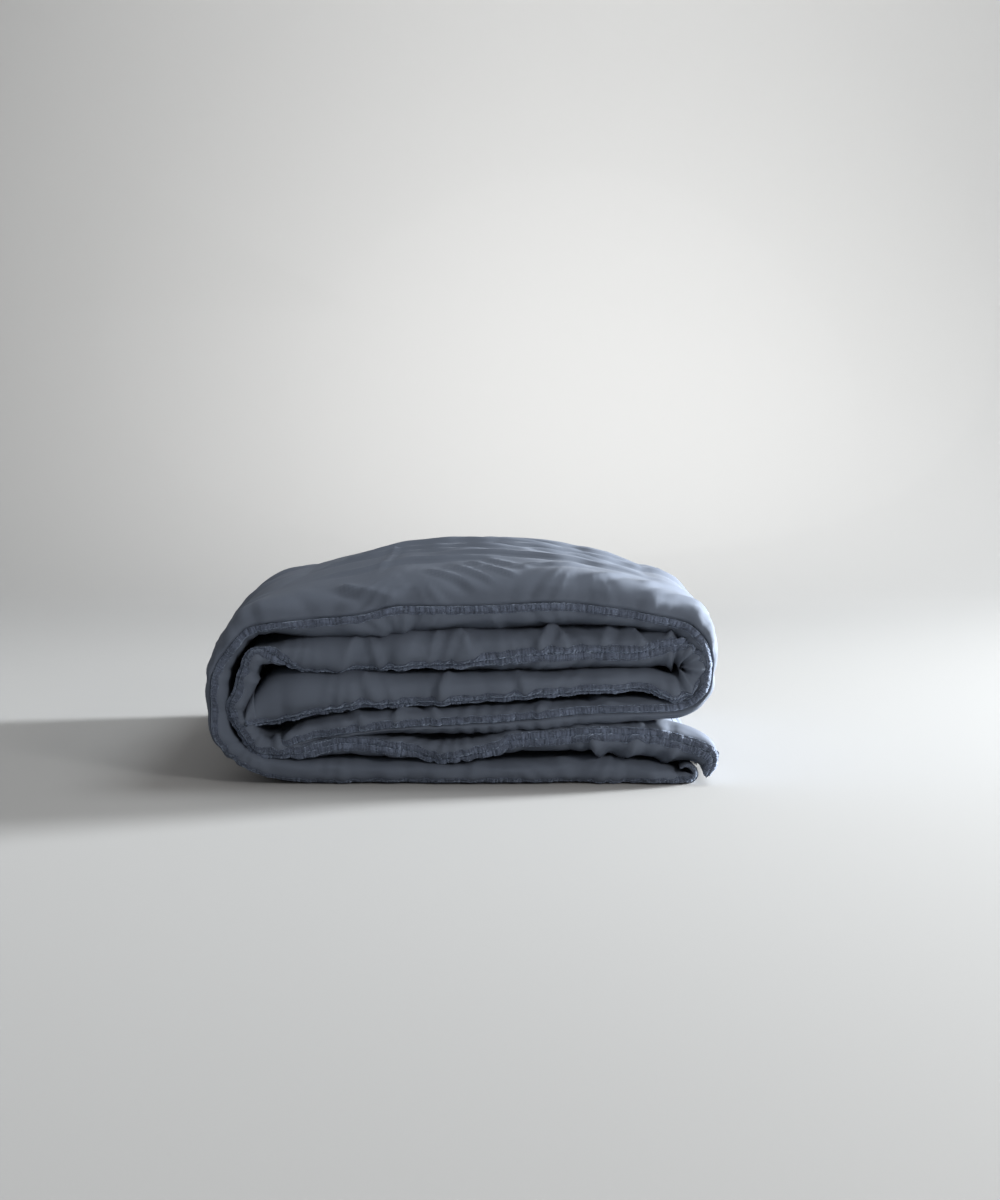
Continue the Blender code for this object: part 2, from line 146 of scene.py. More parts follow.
HEM_B = (
    (0, 301, 10, 8, 15), (20, 309, 24, 10, 17), (40, 308, 38, 16, 18), (62, 288, 46, 20, 18),
    (100, 244, 59, 19, 28), (155, 170, 64, 15, 27), (205, 118, 58, 15, 19), (255, 64, 55, 15, 17),
    (285, 38, 42, 17, 10), (345, -28, 31, 18, 5), (375, -58, 41, 15, 10), (410, -94, 47, 12, 14),
    (455, -145, 52, 12, 18), (487, -176, 44, 14, 14), (505, -190, 38, 16, 10),
    (530, -213, 39, 18, 6), (560, -242, 37, 18, 5), (576, -255, 45, 18, 5), (600, -267, 60, 18, 5),
    (625, -277, 79, 18, 5), (643, -284, 93, 18, 5), (660, -277, 106, 19, 5),
    (678, -272, 121, 19, 5), (700, -266, 141, 19, 5), (722, -261, 159, 20, 3),
    (735, -254, 167, 20, 1), (750, -241, 167, 18, 1), (785, -213, 152, 8, 28),
    (805, -195, 141, 4, 41), (820, -179, 138, 4, 45), (850, -133, 140, 5, 46),
    (900, -72, 146, 8, 45), (965, -3, 148.6, 10, 44), (1060, 96, 161, 25, 29),
    (1124, 159.5, 163.6, 25, 29), (1170, 210, 162, 25, 29), (1205, 244, 169, 25, 18),
    (1235, 273, 173, 26, 8), (1252, 289, 169, 26, 6), (1270, 299, 155, 27, 5),
    (1290, 301, 136, 27, 5), (1305, 294, 121, 27, 5), (1322, 278, 111, 26, 5),
    (1340, 259, 105, 26, 5), (1357, 242, 113, 25, 5), (1375, 224, 119.5, 25, 6),
    (1430, 159.5, 116, 25, 6), (1458, 126, 113, 26, 6), (1567, 7, 104, 32, 7),
    (1640, -66, 100, 36, 9), (1698, -124, 99, 42, 9), (1750, -175, 90, 52, 9), (1784, -210, 82, 58, 9),
    (1827, -263, 73, 52, 9),
)
TOP_LOFT_END, TOP_LOFT_RISE = 0.044, 0.036  # loft of the top run at the bends, and its crown's rise
TOP_BACK_FALL = 0.022  # how much lower the top is towards the half fold
FOOT_DROOP = 0.030  # leaf B's foot end hangs over leaf A's
LIP_SQUARENESS = 2.5  # 2 is an ellipse
BACK_FALL = 0.115  # how much lower the whole stack is at its back
HEM_SOFTENING, COURSE_SOFTENING = 0.007, 0.012  # lengths over which a hem's bends are rounded
FRAME_SHARE = 0.25  # how far a hem's outward direction follows the frame's
FRONT_TAPER_FOOT, FRONT_TAPER_HEAD = 0.060, 0.036  # lengths over which a layer's front thins to an end
NOSE_DEPTH, NOSE_WAVE = 0.004, 0.003  # how far the hems stand back from the stack's front
CREASE_DEPTH, CREASE_WIDTH = 0.0045, 0.0026  # of the groove along a hem
MERGE_START, MERGE_REACH = 0.030, 0.170  # depths at which the hems' places give way to the stack's

FLOOR_GAP = 0.0004

# How finely the cover is cut: steps along the fold, and rows in from a hem
LENGTH_STEP = 0.0044
LIP_ROWS = 24
OUTER_ROWS, HIDDEN_ROWS, BACK_ROWS = 84, 26, 12
INNER_ROWS = (22, 22, LIP_ROWS, 6)  # in each leaf, at its front and at the back


def sizes():
    return bpy.context.scene.duvet_sizes


def colours():
    return bpy.context.scene.duvet_colours


def smooth(x):
    x = np.clip(x, 0.0, 1.0)
    return x * x * (3 - 2 * x)


def eased(s, table):
    """A value that changes along the fold, between the two rows of its table that s lies between."""
    keys, values = np.array(table, float).T
    k = np.clip(np.searchsorted(keys, s), 1, len(keys) - 1)
    share = smooth((s - keys[k - 1]) / (keys[k] - keys[k - 1]))
    return values[k - 1] + (values[k] - values[k - 1]) * share


def line_between_leaves(s):
    """Points (x, z) between the leaves at lengths s from the foot end, and their normals to leaf A."""
    left, right = (s - S_LEFT) / LEFT_RADIUS, (s - S_RIGHT) / RIGHT_RADIUS
    zero, one = np.zeros_like(s), np.ones_like(s)
    runs = [s < S_LEFT, s < S_TOP, s < S_RIGHT, s < S_MIDDLE]
    out_x = np.select(runs, [zero, -np.sin(left), zero, np.sin(right)], zero)
    out_z = np.select(runs, [-one, -np.cos(left), one, np.cos(right)], -one)
    x = np.select(
        runs,
        [X_FOOT - s, X_LEFT + LEFT_RADIUS * out_x, X_LEFT + s - S_TOP, X_RIGHT + RIGHT_RADIUS * out_x],
        X_RIGHT - (s - S_MIDDLE),
    )
    bottom = eased(s, LOFTS_A) + LEAF_GAP / 2
    z = np.select(
        runs,
        [bottom, Z_BOTTOM + LEFT_RADIUS * (1 + out_z), Z_TOP + zero, Z_MIDDLE + RIGHT_RADIUS * (1 + out_z)],
        Z_MIDDLE,
    )
    return x, z, out_x, out_z


def rounding(distance, reach, border):
    """Share of the full loft at a distance in from an end of the duvet."""
    r = np.clip((distance - border) / (reach - border), 0, 1)
    return np.sqrt(1 - (1 - r) ** 2)


def softened(values, spacing, reach):
    """Values along a line, averaged over a reach with a bell-shaped weight."""
    half = max(int(3 * reach / spacing), 1)
    weights = np.exp(-0.5 * (np.arange(-half, half + 1) * spacing / reach) ** 2)
    before, after = 2 * values[0] - values[half:0:-1], 2 * values[-1] - values[-2 : -half - 2 : -1]
    return np.convolve(np.concatenate([before, values, after]), weights / weights.sum(), mode="valid")


class Hem:
    """One leaf's side hem at the front of the stack, and the panels' places behind it."""

    SPACING = 0.001

    def __init__(self, table, towards_outer):
        rows = np.array(table, float) / 1000
        s = np.arange(0, S_HEAD + self.SPACING, self.SPACING)
        made = [np.interp(s, rows[:, 0], rows[:, k]) for k in range(1, 5)]
        made = [softened(values, self.SPACING, HEM_SOFTENING) for values in made]
        self.s, (self.x, self.z, self.outer, self.inner) = s, made
        wide = [softened(values, self.SPACING, COURSE_SOFTENING) for values in made[:2]]
        along = np.stack([np.gradient(v) for v in wide])
        along /= np.linalg.norm(along, axis=0)
        line = line_between_leaves(s)
        normal = np.stack([-along[1], along[0]]) * (1 - FRAME_SHARE) + np.stack(line[2:]) * FRAME_SHARE
        normal = np.stack([softened(n, self.SPACING, 0.010) for n in normal])
        self.out = normal / np.linalg.norm(normal, axis=0) * towards_outer

    def at(self, s):
        """x, z, extents to the outer and the inner panel, and the direction to the outer panel."""
        values = (self.x, self.z, self.outer, self.inner, *self.out)
        return [np.interp(s, self.s, v) for v in values]


def rolling(s, seed, shortest, longest, count=9):
    """A smooth random wave along a length, from about -1 to 1."""
    rng = np.random.default_rng(seed)
    total = np.zeros_like(s)
    for _ in range(count):
        wave = math.exp(rng.uniform(math.log(shortest), math.log(longest)))
        total += np.sin(2 * math.pi * (s / wave + rng.uniform())) * rng.uniform(0.4, 1)
    return total / math.sqrt(count / 2)


class FoldedCover:
    """Points of the cover's two panels for lengths along the fold and rows across it."""

    def __init__(self):
        self.hems = {"a": Hem(HEM_A, 1), "b": Hem(HEM_B, -1)}

    def rows(self, deep_a, deep_b, lip=LIP_ROWS, back=BACK_ROWS):
        """Rows across the cover from hem to hem, as (leaf, kind, share)."""
        lips = [(k / lip) ** 1.35 for k in range(lip)]
        made = [("a", "lip", a) for a in lips] + [("a", "deep", k / deep_a) for k in range(deep_a)]
        made += [("a" if k <= back / 2 else "b", "back", k / back) for k in range(back + 1)]
        made += [("b", "deep", k / deep_b) for k in range(deep_b)][::-1]
        return made + [("b", "lip", a) for a in lips][::-1]

    def drawn_in(self, s, leaf, depth):
        share = 1 - depth / LEAF_WIDTH / 2 if leaf == "a" else depth / LEAF_WIDTH / 2
        foot, head = FOOT_A_SHORT * share, HEAD_A_SHORT * share
        near = foot + s * (S_LEFT - foot) / S_LEFT
        far = S_MIDDLE + (s - S_MIDDLE) * (S_HEAD - head - S_MIDDLE) / (S_HEAD - S_MIDDLE)
        return np.where(s < S_LEFT, near, np.where(s > S_MIDDLE, far, s))

    def inside(self, s, leaf, panel, depth, turn=None):
        """Points behind the front, where the stack presses the leaves flat."""
        turned = (0.0 if leaf == "a" else math.pi) if turn is None else turn
        place = self.drawn_in(s, leaf, depth)
        x, z, out_x, out_z = line_between_leaves(place)
        across_top = np.clip((place - S_TOP) / (S_RIGHT - S_TOP), 0, 1)
        dome = TOP_LOFT_END + TOP_LOFT_RISE * (1 - (2 * across_top - 1) ** 2)
        loft = np.where((place > S_TOP) & (place < S_RIGHT), dome, eased(place, LOFTS_A))
        loft = loft - TOP_BACK_FALL * smooth((depth - 0.30) / 0.36) * np.sin(np.pi * across_top)
        share_b = (1 - math.cos(turned)) / 2
        loft = loft + (eased(place, LOFTS_B) - loft) * share_b
        z = z - FOOT_DROOP * share_b * (1 - smooth(s / 0.040))
        full = rounding(np.minimum(s, S_HEAD - s), END_ROUNDING, 0.0)
        filling = loft - EDGE_THICKNESS
        near = LEAF_GAP / 2 + HEM_RISE * filling * (1 - full)
        far = LEAF_GAP / 2 + HEM_RISE * filling + (1 - HEM_RISE) * filling * full + EDGE_THICKNESS
        closed = np.clip(np.minimum(s, S_HEAD - s) / 0.006, 0, 1) ** 0.5
        middle = (near + far) / 2
        near, far = middle + (near - middle) * closed, middle + (far - middle) * closed
        distance = far if panel == "outer" else near
        radius = BACK_RADIUS * (far - near) / loft if panel == "outer" else BACK_INNER_RADIUS
        if turn is None:
            radius = 0.0
        x = x + out_x * distance * math.cos(turned)
        z = z + out_z * distance * math.cos(turned)
        y = Y_FRONT + depth + radius * math.sin(turned)
        z = z * (1 - BACK_FALL * np.clip((y - 0.0) / 0.35, 0, 1) ** 1.3)
        return np.stack(np.broadcast_arrays(x, y, z), -1)

    def front(self, s, leaf, panel, share):
        """Points on the rounded front of a layer, from the hem (0) to its full thickness (1)."""
        x, z, outer, inner, out_x, out_z = self.hems[leaf].at(s)
        full = rounding(np.minimum(s / FRONT_TAPER_FOOT, (S_HEAD - s) / FRONT_TAPER_HEAD), 1.0, 0.0)
        outer, inner = outer * full + 0.0004, inner * full + 0.0004
        half, offset = (outer + inner) / 2, (outer - inner) / 2
        hem_angle = np.arcsin(np.clip(-offset / half, -0.96, 0.96))
        end = math.pi / 2 if panel == "outer" else -math.pi / 2
        angle = hem_angle + (end - hem_angle) * share
        height = np.sin(angle)
        distance = offset + half * height
        nose = NOSE_DEPTH + NOSE_WAVE * rolling(s, 11 if leaf == "a" else 12, 0.05, 0.4)
        square = LIP_SQUARENESS
        back = nose + 2 * half * (1 - np.maximum(1 - np.abs(height) ** square, 0) ** (1 / square))
        run = half * np.abs(angle - hem_angle)
        crease = CREASE_DEPTH * np.exp(-((run / CREASE_WIDTH) ** 2)) * full
        return np.stack([x + out_x * distance, Y_FRONT + back + crease, z + out_z * distance], -1)

    def points(self, s, panel, rows):
        """The panel's points, one row of the grid for each length in s."""
        s = np.asarray(s, float)
        made = []
        for leaf, kind, share in rows:
            if kind == "back":
                turn = math.pi * share
                made.append(self.inside(s, leaf, panel, LEAF_WIDTH, turn))
                continue
            front = self.front(s, leaf, panel, share if kind == "lip" else 1.0)
            if kind == "deep":
                front[:, 1] += (Y_BACK - front[:, 1]) * share
            depth = front[:, 1] - Y_FRONT
            inside = self.inside(s, leaf, panel, depth)
            merge = smooth((depth - MERGE_START) / MERGE_REACH)[:, None]
            inside[:, 1] = front[:, 1]
            made.append(front + (inside - front) * merge)
        return np.stack(made, 1)


def flat_lengths(points):
    """Distances along each line across the cover, measured on the cloth from leaf A's hem."""
    steps = np.linalg.norm(np.diff(points, axis=1), axis=2)
    return np.concatenate([np.zeros((len(points), 1)), np.cumsum(steps, axis=1)], axis=1)


def grid_normals(points):
    """Unit normals of a grid of points, to the side that its cross product gives."""
    along, across = np.gradient(points, axis=0), np.gradient(points, axis=1)
    normal = np.cross(along, across)
    return normal / np.maximum(np.linalg.norm(normal, axis=2, keepdims=True), 1e-12)


def length_steps(step=LENGTH_STEP):
    """Lengths along the fold, closer together at both ends."""
    ends = np.array([0, 0.0004, 0.0012, 0.0025, 0.0045, 0.0072, 0.0105, 0.0145])
    inside = np.linspace(0.019, S_HEAD - 0.019, int((S_HEAD - 0.038) / step) + 1)
    return np.concatenate([ends, inside, S_HEAD - ends[::-1]])


def grid_object(name, points, uv=None, flip=False, material=None):
    """A mesh of quads between the points of a grid, with the flat cloth's places as its UV map."""
    rows, columns = points.shape[:2]
    index = np.arange(rows * columns).reshape(rows, columns)
    corners = [index[:-1, :-1], index[1:, :-1], index[1:, 1:], index[:-1, 1:]]
    faces = np.stack(corners[::-1] if flip else corners, -1).reshape(-1, 4)
    uv = None if uv is None else uv.reshape(-1, 2)
    return mesh_object(name, points.reshape(-1, 3), faces, uv, material)


def mesh_object(name, vertices, faces, uv=None, material=None):
    data = bpy.data.meshes.new(name)
    data.vertices.add(len(vertices))
    data.vertices.foreach_set("co", np.asarray(vertices, np.float32).ravel())
    faces = np.asarray(faces, np.int32)
    data.loops.add(faces.size)
    data.loops.foreach_set("vertex_index", faces.ravel())
    data.polygons.add(len(faces))
    data.polygons.foreach_set("loop_start", np.arange(0, faces.size, faces.shape[1], dtype=np.int32))
    data.update(calc_edges=True)
    data.validate()
    if uv is not None:
        layer = data.uv_layers.new(name="flat_cloth")
        layer.data.foreach_set("uv", np.asarray(uv, np.float32)[faces.ravel()].ravel())
    data.shade_smooth()
    if material:
        data.materials.append(material)
    made = bpy.data.objects.new(name, data)
    bpy.context.scene.collection.objects.link(made)
    return made


def mapped(points, u, v):
    """Points of a grid at fractional line numbers u (along) and v (across)."""
    rows, columns = points.shape[:2]
    u, v = np.clip(u, 0, rows - 1.0001), np.clip(v, 0, columns - 1.0001)
    i, j = u.astype(int), v.astype(int)
    a, b = (u - i)[..., None], (v - j)[..., None]
    near = points[i, j] * (1 - b) + points[i, j + 1] * b
    far = points[i + 1, j] * (1 - b) + points[i + 1, j + 1] * b
    return near * (1 - a) + far * a


# Materials


def node(tree, kind, inputs=(), **settings):
    """A shader node, with its inputs set to values or linked to sockets."""
    made = tree.nodes.new(kind)
    for key, value in settings.items():
        setattr(made, key, value)
    for key, value in dict(inputs).items():
        socket = made.inputs[key]
        if isinstance(value, bpy.types.NodeSocket):
            tree.links.new(value, socket)
        else:
            socket.default_value = value
    return made


def maths(tree, operation, *values):
    return node(tree, "ShaderNodeMath", enumerate(values), operation=operation).outputs[0]


# Relief of the woven cloth in metres, and reaches from a hem
WEAVE_HEIGHT, GATHER_HEIGHT, CREASE_HEIGHT = 0.00006, 0.00035, 0.020
SLUB_HEIGHT, FINE_HEIGHT, MIDDLING_HEIGHT = 0.0010, 0.0030, 0.0066
GATHER_REACH, SHADE_REACH = 0.009, 0.0012
# Tones over the cloth's colour: slubs and wash are the cloth's own; the gathers' tone paints light on their
# ridges and shade in their hollows along a hem, and the shade tone paints shade into the crease at a hem.
SLUB_TONE, WASH_TONE, GATHER_PAINTED_SHADING, SHADE_TONE = 0.70, 1.1, 0.20, 0.40


def woven_cloth_group():
    """Colour, roughness and height of a washed woven cloth, from the flat cloth's own places. Its colour
    carries wear and painted shade on a hem's puckers, painted light and shade on the gathers, and painted
    shade in the crease along a hem.
    """
    tree = bpy.data.node_groups.new("woven_cloth", "ShaderNodeTree")
    socket = tree.interface.new_socket
    socket("Colour", in_out="INPUT", socket_type="NodeSocketColor")
    for name, value in (("Thread", 0.0011), ("Slubs", 0.5), ("Wash", 0.5), ("Crumple", 1.0), ("Wear", 0.0)):
        socket(name, in_out="INPUT", socket_type="NodeSocketFloat").default_value = value
    for name, kind in (("Colour", "Color"), ("Roughness", "Float"), ("Height", "Float")):
        socket(name, in_out="OUTPUT", socket_type=f"NodeSocket{kind}")
    given = tree.nodes.new("NodeGroupInput").outputs

    def uv_map(name):
        place = node(tree, "ShaderNodeUVMap", uv_map=name).outputs[0]
        return place, node(tree, "ShaderNodeSeparateXYZ", {0: place}).outputs

    def noise(vector, scale, detail=2.0, rough=0.5):
        settings = {"Vector": vector, "Scale": scale, "Detail": detail, "Roughness": rough}
        return node(tree, "ShaderNodeTexNoise", settings, noise_dimensions="2D").outputs["Fac"]

    def stretched(x, y, shift=0.0):
        scale = {"Vector": place, "Scale": (x, y, 1), "Location": (shift, shift, 0)}
        return node(tree, "ShaderNodeMapping", scale, vector_type="POINT").outputs[0]

    def product(*values):
        return functools.reduce(lambda a, b: maths(tree, "MULTIPLY", a, b), values)

    def total(*values):
        return functools.reduce(lambda a, b: maths(tree, "ADD", a, b), values)

    def fading(distance, reach):
        return maths(tree, "EXPONENT", product(distance, -1 / reach))

    place, place_xy = uv_map("flat_cloth")
    hem, hem_xy = uv_map("from_hem")
    worn = uv_map("worn")[1][0]
    per_metre = maths(tree, "DIVIDE", 2 * math.pi, given["Thread"])
    weave = product(*(maths(tree, "SINE", product(place_xy[k], per_metre)) for k in (0, 1)))
    slubs = total(noise(stretched(9, 260), 1.0), noise(stretched(240, 8, 3.0), 1.0), -1.0)
    wash = total(noise(place, 5.0, 4.0, 0.6), -0.5)
    creases = maths(tree, "ABSOLUTE", total(noise(place, 34.0, 3.0, 0.55), -0.5))
    fine = noise(stretched(150, 150, 5.0), 1.0, 3.0, 0.6)
    middling = noise(stretched(70, 95, 9.0), 1.0, 3.0, 0.6)
    wander = product(noise(hem, 90.0, 1.0), 14.0)
    phase = total(product(hem_xy[0], 2 * math.pi / sizes().pucker_length), wander)
    gathers = product(maths(tree, "SINE", phase), fading(hem_xy[1], GATHER_REACH))
    height = total(
        product(weave, WEAVE_HEIGHT),
        product(slubs, SLUB_HEIGHT),
        product(fine, FINE_HEIGHT),
        product(middling, MIDDLING_HEIGHT),
        product(gathers, GATHER_HEIGHT),
        product(creases, CREASE_HEIGHT, given["Crumple"]),
    )
    light = total(
        1.0,
        product(slubs, given["Slubs"], SLUB_TONE),
        product(wash, given["Wash"], WASH_TONE),
        # lighter on the puckers' worn ridges, and painted shade in their hollows and in the stitch groove
        product(total(worn, -0.4), given["Wear"]),
        # painted light and shade over the gathers' ridges and hollows
        product(gathers, GATHER_PAINTED_SHADING),
        product(fading(hem_xy[1], SHADE_REACH), -SHADE_TONE),
    )
    shades = node(tree, "ShaderNodeVectorMath", {0: given["Colour"], "Scale": light}, operation="SCALE")
    out = tree.nodes.new("NodeGroupOutput")
    tree.links.new(shades.outputs[0], out.inputs["Colour"])
    tree.links.new(total(0.80, product(wash, 0.12)), out.inputs["Roughness"])
    tree.links.new(height, out.inputs["Height"])
    return tree


def material_named(name):
    """The material of this name, and whether it has just been made."""
    found = bpy.data.materials.get(name)
    if found:
        return found, False
    material = bpy.data.materials.new(name)
    material.use_nodes = True
    return material, True


def cloth_material(name, colour, sheen=0.9, bump=1.0, **values):
    """A woven cotton. The values go to the woven_cloth group's inputs."""
    material, is_new = material_named(name)
    if not is_new:
        return material
    tree = material.node_tree
    shader = tree.nodes["Principled BSDF"]
    group = bpy.data.node_groups.get("woven_cloth") or woven_cloth_group()
    inputs = {"Colour": (*colour, 1), **values}
    cloth = node(tree, "ShaderNodeGroup", node_tree=group)
    for key, value in inputs.items():
        cloth.inputs[key].default_value = value
    relief = {"Height": cloth.outputs["Height"], "Strength": bump, "Distance": 1.0}
    relief = node(tree, "ShaderNodeBump", relief)
    tree.links.new(cloth.outputs["Colour"], shader.inputs["Base Color"])
    tree.links.new(cloth.outputs["Roughness"], shader.inputs["Roughness"])
    tree.links.new(relief.outputs[0], shader.inputs["Normal"])
    shader.inputs["Sheen Weight"].default_value = sheen
    shader.inputs["Sheen Roughness"].default_value = 0.45
    shader.inputs["Sheen Tint"].default_value = (0.62, 0.74, 0.95, 1)
    shader.inputs["Specular IOR Level"].default_value = 0.22
    return material


def plain_material(name, colour, roughness=0.6):
    material, is_new = material_named(name)
    if is_new:
        shader = material.node_tree.nodes["Principled BSDF"]
        shader.inputs["Base Color"].default_value = (*colour, 1)
        shader.inputs["Roughness"].default_value = roughness
    return material


def frame_material(name):
    """A plain material that came with the frame, as it is: one colour, without weave or relief."""
    return bpy.data.materials[name]


# Pieces


def add_uv(obj, name, places):
    layer = obj.data.uv_layers.new(name=name)
    loops = np.empty(len(obj.data.loops), np.int32)
    obj.data.loops.foreach_get("vertex_index", loops)
    layer.data.foreach_set("uv", np.asarray(places, np.float32)[loops].ravel())


def add_hem_places(obj, places, worn=None):
    """UV maps of each point's length along the fold and distance from a hem, and of how high it stands on a
    hem's puckers, which lightens the worn ridges and paints shade into the hollows.
    """
    add_uv(obj, "from_hem", places)
    add_uv(obj, "worn", np.full_like(places, 0.4) if worn is None else worn)


class Shapes:
    """The folded panels, made once and shared by the pieces that lie on them."""

    cover = FoldedCover()
    panels = {}

    @classmethod
    def panel(cls, side):
        """Lengths, points, and distances over the cloth from leaf A's hem, after the cloth has settled."""
        if side not in cls.panels:
            s = length_steps()
            rows = (OUTER_ROWS, HIDDEN_ROWS, LIP_ROWS, BACK_ROWS) if side == "outer" else INNER_ROWS
            rows = cls.cover.rows(*rows)
            points = cls.cover.points(s, side, rows)
            across = flat_lengths(points)
            points = crumpled(points, s, across, side)
            points = with_settling(points, across, side)
            points[..., 2] = np.maximum(points[..., 2], FLOOR_GAP)
            cls.panels[side] = (s, points, across)
        return cls.panels[side]


# How the cloth settles: weights that hold it near its place, and the most that it may move
SETTLE_SEED, SETTLE_ROUGHNESS = 5, 0.0004
HOLD_TOP, HOLD_FRONT, HOLD_PRESSED = 0.12, 0.10, 0.40
SETTLE_FRAMES, SETTLE_SOFTENING, BENDING = 12, 5, 0.05
MOST_MOVED_TOP, MOST_MOVED_FRONT = 0.0010, 0.0042


def settled(points, hold, growth, frames, bending):
    """Lets spare cloth buckle into wrinkles, each point held near its place by its weight in hold."""
    made = grid_object("settling", points)
    group = made.vertex_groups.new(name="hold")
    levels = np.round(np.asarray(hold).ravel() * 100).astype(int)
    for level in np.unique(levels):
        group.add(np.flatnonzero(levels == level).tolist(), level / 100, "REPLACE")
    cloth = made.modifiers.new("settle", "CLOTH")
    use = cloth.settings
    use.vertex_group_mass = "hold"
    use.quality = 4
    use.mass = 0.2
    use.air_damping = 4
    use.tension_stiffness = use.compression_stiffness = 25
    use.shear_stiffness = 8
    use.bending_stiffness = bending
    use.shrink_min = -growth
    use.effector_weights.gravity = 0
    cloth.collision_settings.use_collision = False
    cloth.point_cache.frame_start, cloth.point_cache.frame_end = 1, frames + 1
    scene = bpy.context.scene
    for number in range(1, frames + 1):
        scene.frame_set(number)
    still = bpy.data.meshes.new_from_object(made.evaluated_get(bpy.context.evaluated_depsgraph_get()))
    places = np.empty(len(still.vertices) * 3, np.float32)
    still.vertices.foreach_get("co", places)
    scene.frame_set(1)
    bpy.data.objects.remove(made)
    bpy.data.meshes.remove(still)
    return places.reshape(points.shape).astype(float)


def with_settling(points, across, side):
    """The panel's points after simulation, which moves the cloth most where it is seen."""
    width = across[:, -1:]
    hem = np.minimum(across, width - across)
    leaf_a = across < width / 2
    rough = np.random.default_rng(SETTLE_SEED).normal(0, SETTLE_ROUGHNESS, points.shape[:2])[..., None]
    start = points + rough * grid_normals(points)
    free = leaf_a & (side == "outer")
    hold = np.where(free, HOLD_TOP, HOLD_FRONT + HOLD_PRESSED * smooth((hem - 0.05) / 0.06))
    hold[:, [0, 1, -2, -1]] = hold[[0, -1]] = 1
    moved = settled(start, hold, sizes().spare_cloth, SETTLE_FRAMES, BENDING) - points
    for _ in range(SETTLE_SOFTENING):
        moved[1:-1] = (moved[:-2] + 2 * moved[1:-1] + moved[2:]) / 4
        moved[:, 1:-1] = (moved[:, :-2] + 2 * moved[:, 1:-1] + moved[:, 2:]) / 4
    size = np.linalg.norm(moved, axis=2, keepdims=True)
    most = np.where(free, MOST_MOVED_TOP, MOST_MOVED_FRONT)
    most = (most * (0.15 + 0.85 * smooth((hem - 0.008) / 0.030)))[..., None]
    return points + moved * (most * np.tanh(size / most) / np.maximum(size, 1e-9))


def ridge(s, v, start, end, width, height):
    """A fold that rises along a line on the flat cloth and dies away at both ends."""
    start, end = np.array(start), np.array(end)
    along = end - start
    length = np.linalg.norm(along)
    ds, dv = s - start[0], v - start[1]
    t = (ds * along[0] + dv * along[1]) / length**2
    off = (ds * along[1] - dv * along[0]) / length
    profile = np.exp(-((np.abs(off) / width) ** 1.15)) - 0.5 * np.exp(-(((off - 1.7 * width) / width) ** 2))
    ends = smooth((t + 0.08) / 0.3) * smooth((1.08 - t) / 0.3)
    return height * profile * ends


# Folds on the top of the stack, as (start, end, width, height): start and end are each a length
# along the fold and a distance in from leaf A's hem
TOP_FOLDS = (
    ((0.80, 0.130), (1.02, 0.150), 0.008, 0.0040),
    ((0.93, 0.175), (1.21, 0.160), 0.009, 0.0050),
    ((0.86, 0.205), (1.00, 0.190), 0.006, 0.0034),
    ((0.78, 0.235), (1.05, 0.215), 0.010, 0.0056),
    ((0.98, 0.262), (1.26, 0.285), 0.010, 0.0060),
    ((1.04, 0.225), (1.16, 0.232), 0.006, 0.0036),
    ((0.82, 0.320), (1.10, 0.335), 0.012, 0.0062),
    ((0.95, 0.400), (1.20, 0.385), 0.013, 0.0062),
    ((0.84, 0.470), (1.08, 0.480), 0.013, 0.0055),
    ((0.90, 0.560), (1.15, 0.545), 0.013, 0.0050),
    ((0.872, 0.085), (0.880, 0.300), 0.004, 0.0022),
    ((0.835, 0.056), (0.893, 0.008), 0.007, 0.0064),
    ((0.884, 0.004), (0.905, 0.034), 0.004, 0.0036),
    ((0.925, 0.085), (0.985, 0.022), 0.006, 0.0040),
    ((0.950, 0.105), (1.010, 0.030), 0.005, 0.0034),
    ((0.975, 0.120), (1.035, 0.045), 0.005, 0.0032),
    ((0.995, 0.135), (1.050, 0.080), 0.005, 0.0028),
    ((1.040, 0.100), (1.120, 0.120), 0.007, 0.0030),
    ((1.180, 0.060), (1.240, 0.140), 0.008, 0.0040),
    ((1.205, 0.030), (1.250, 0.070), 0.005, 0.0034),
    ((1.110, 0.035), (1.170, 0.110), 0.009, 0.0030),
    ((1.230, 0.150), (1.330, 0.260), 0.010, 0.0040),
    ((0.690, 0.050), (0.760, 0.110), 0.008, 0.0034),
    ((0.640, 0.160), (0.740, 0.240), 0.010, 0.0040),
    ((0.620, 0.300), (0.760, 0.360), 0.011, 0.0040),
    ((0.560, 0.420), (0.700, 0.400), 0.011, 0.0040),
)
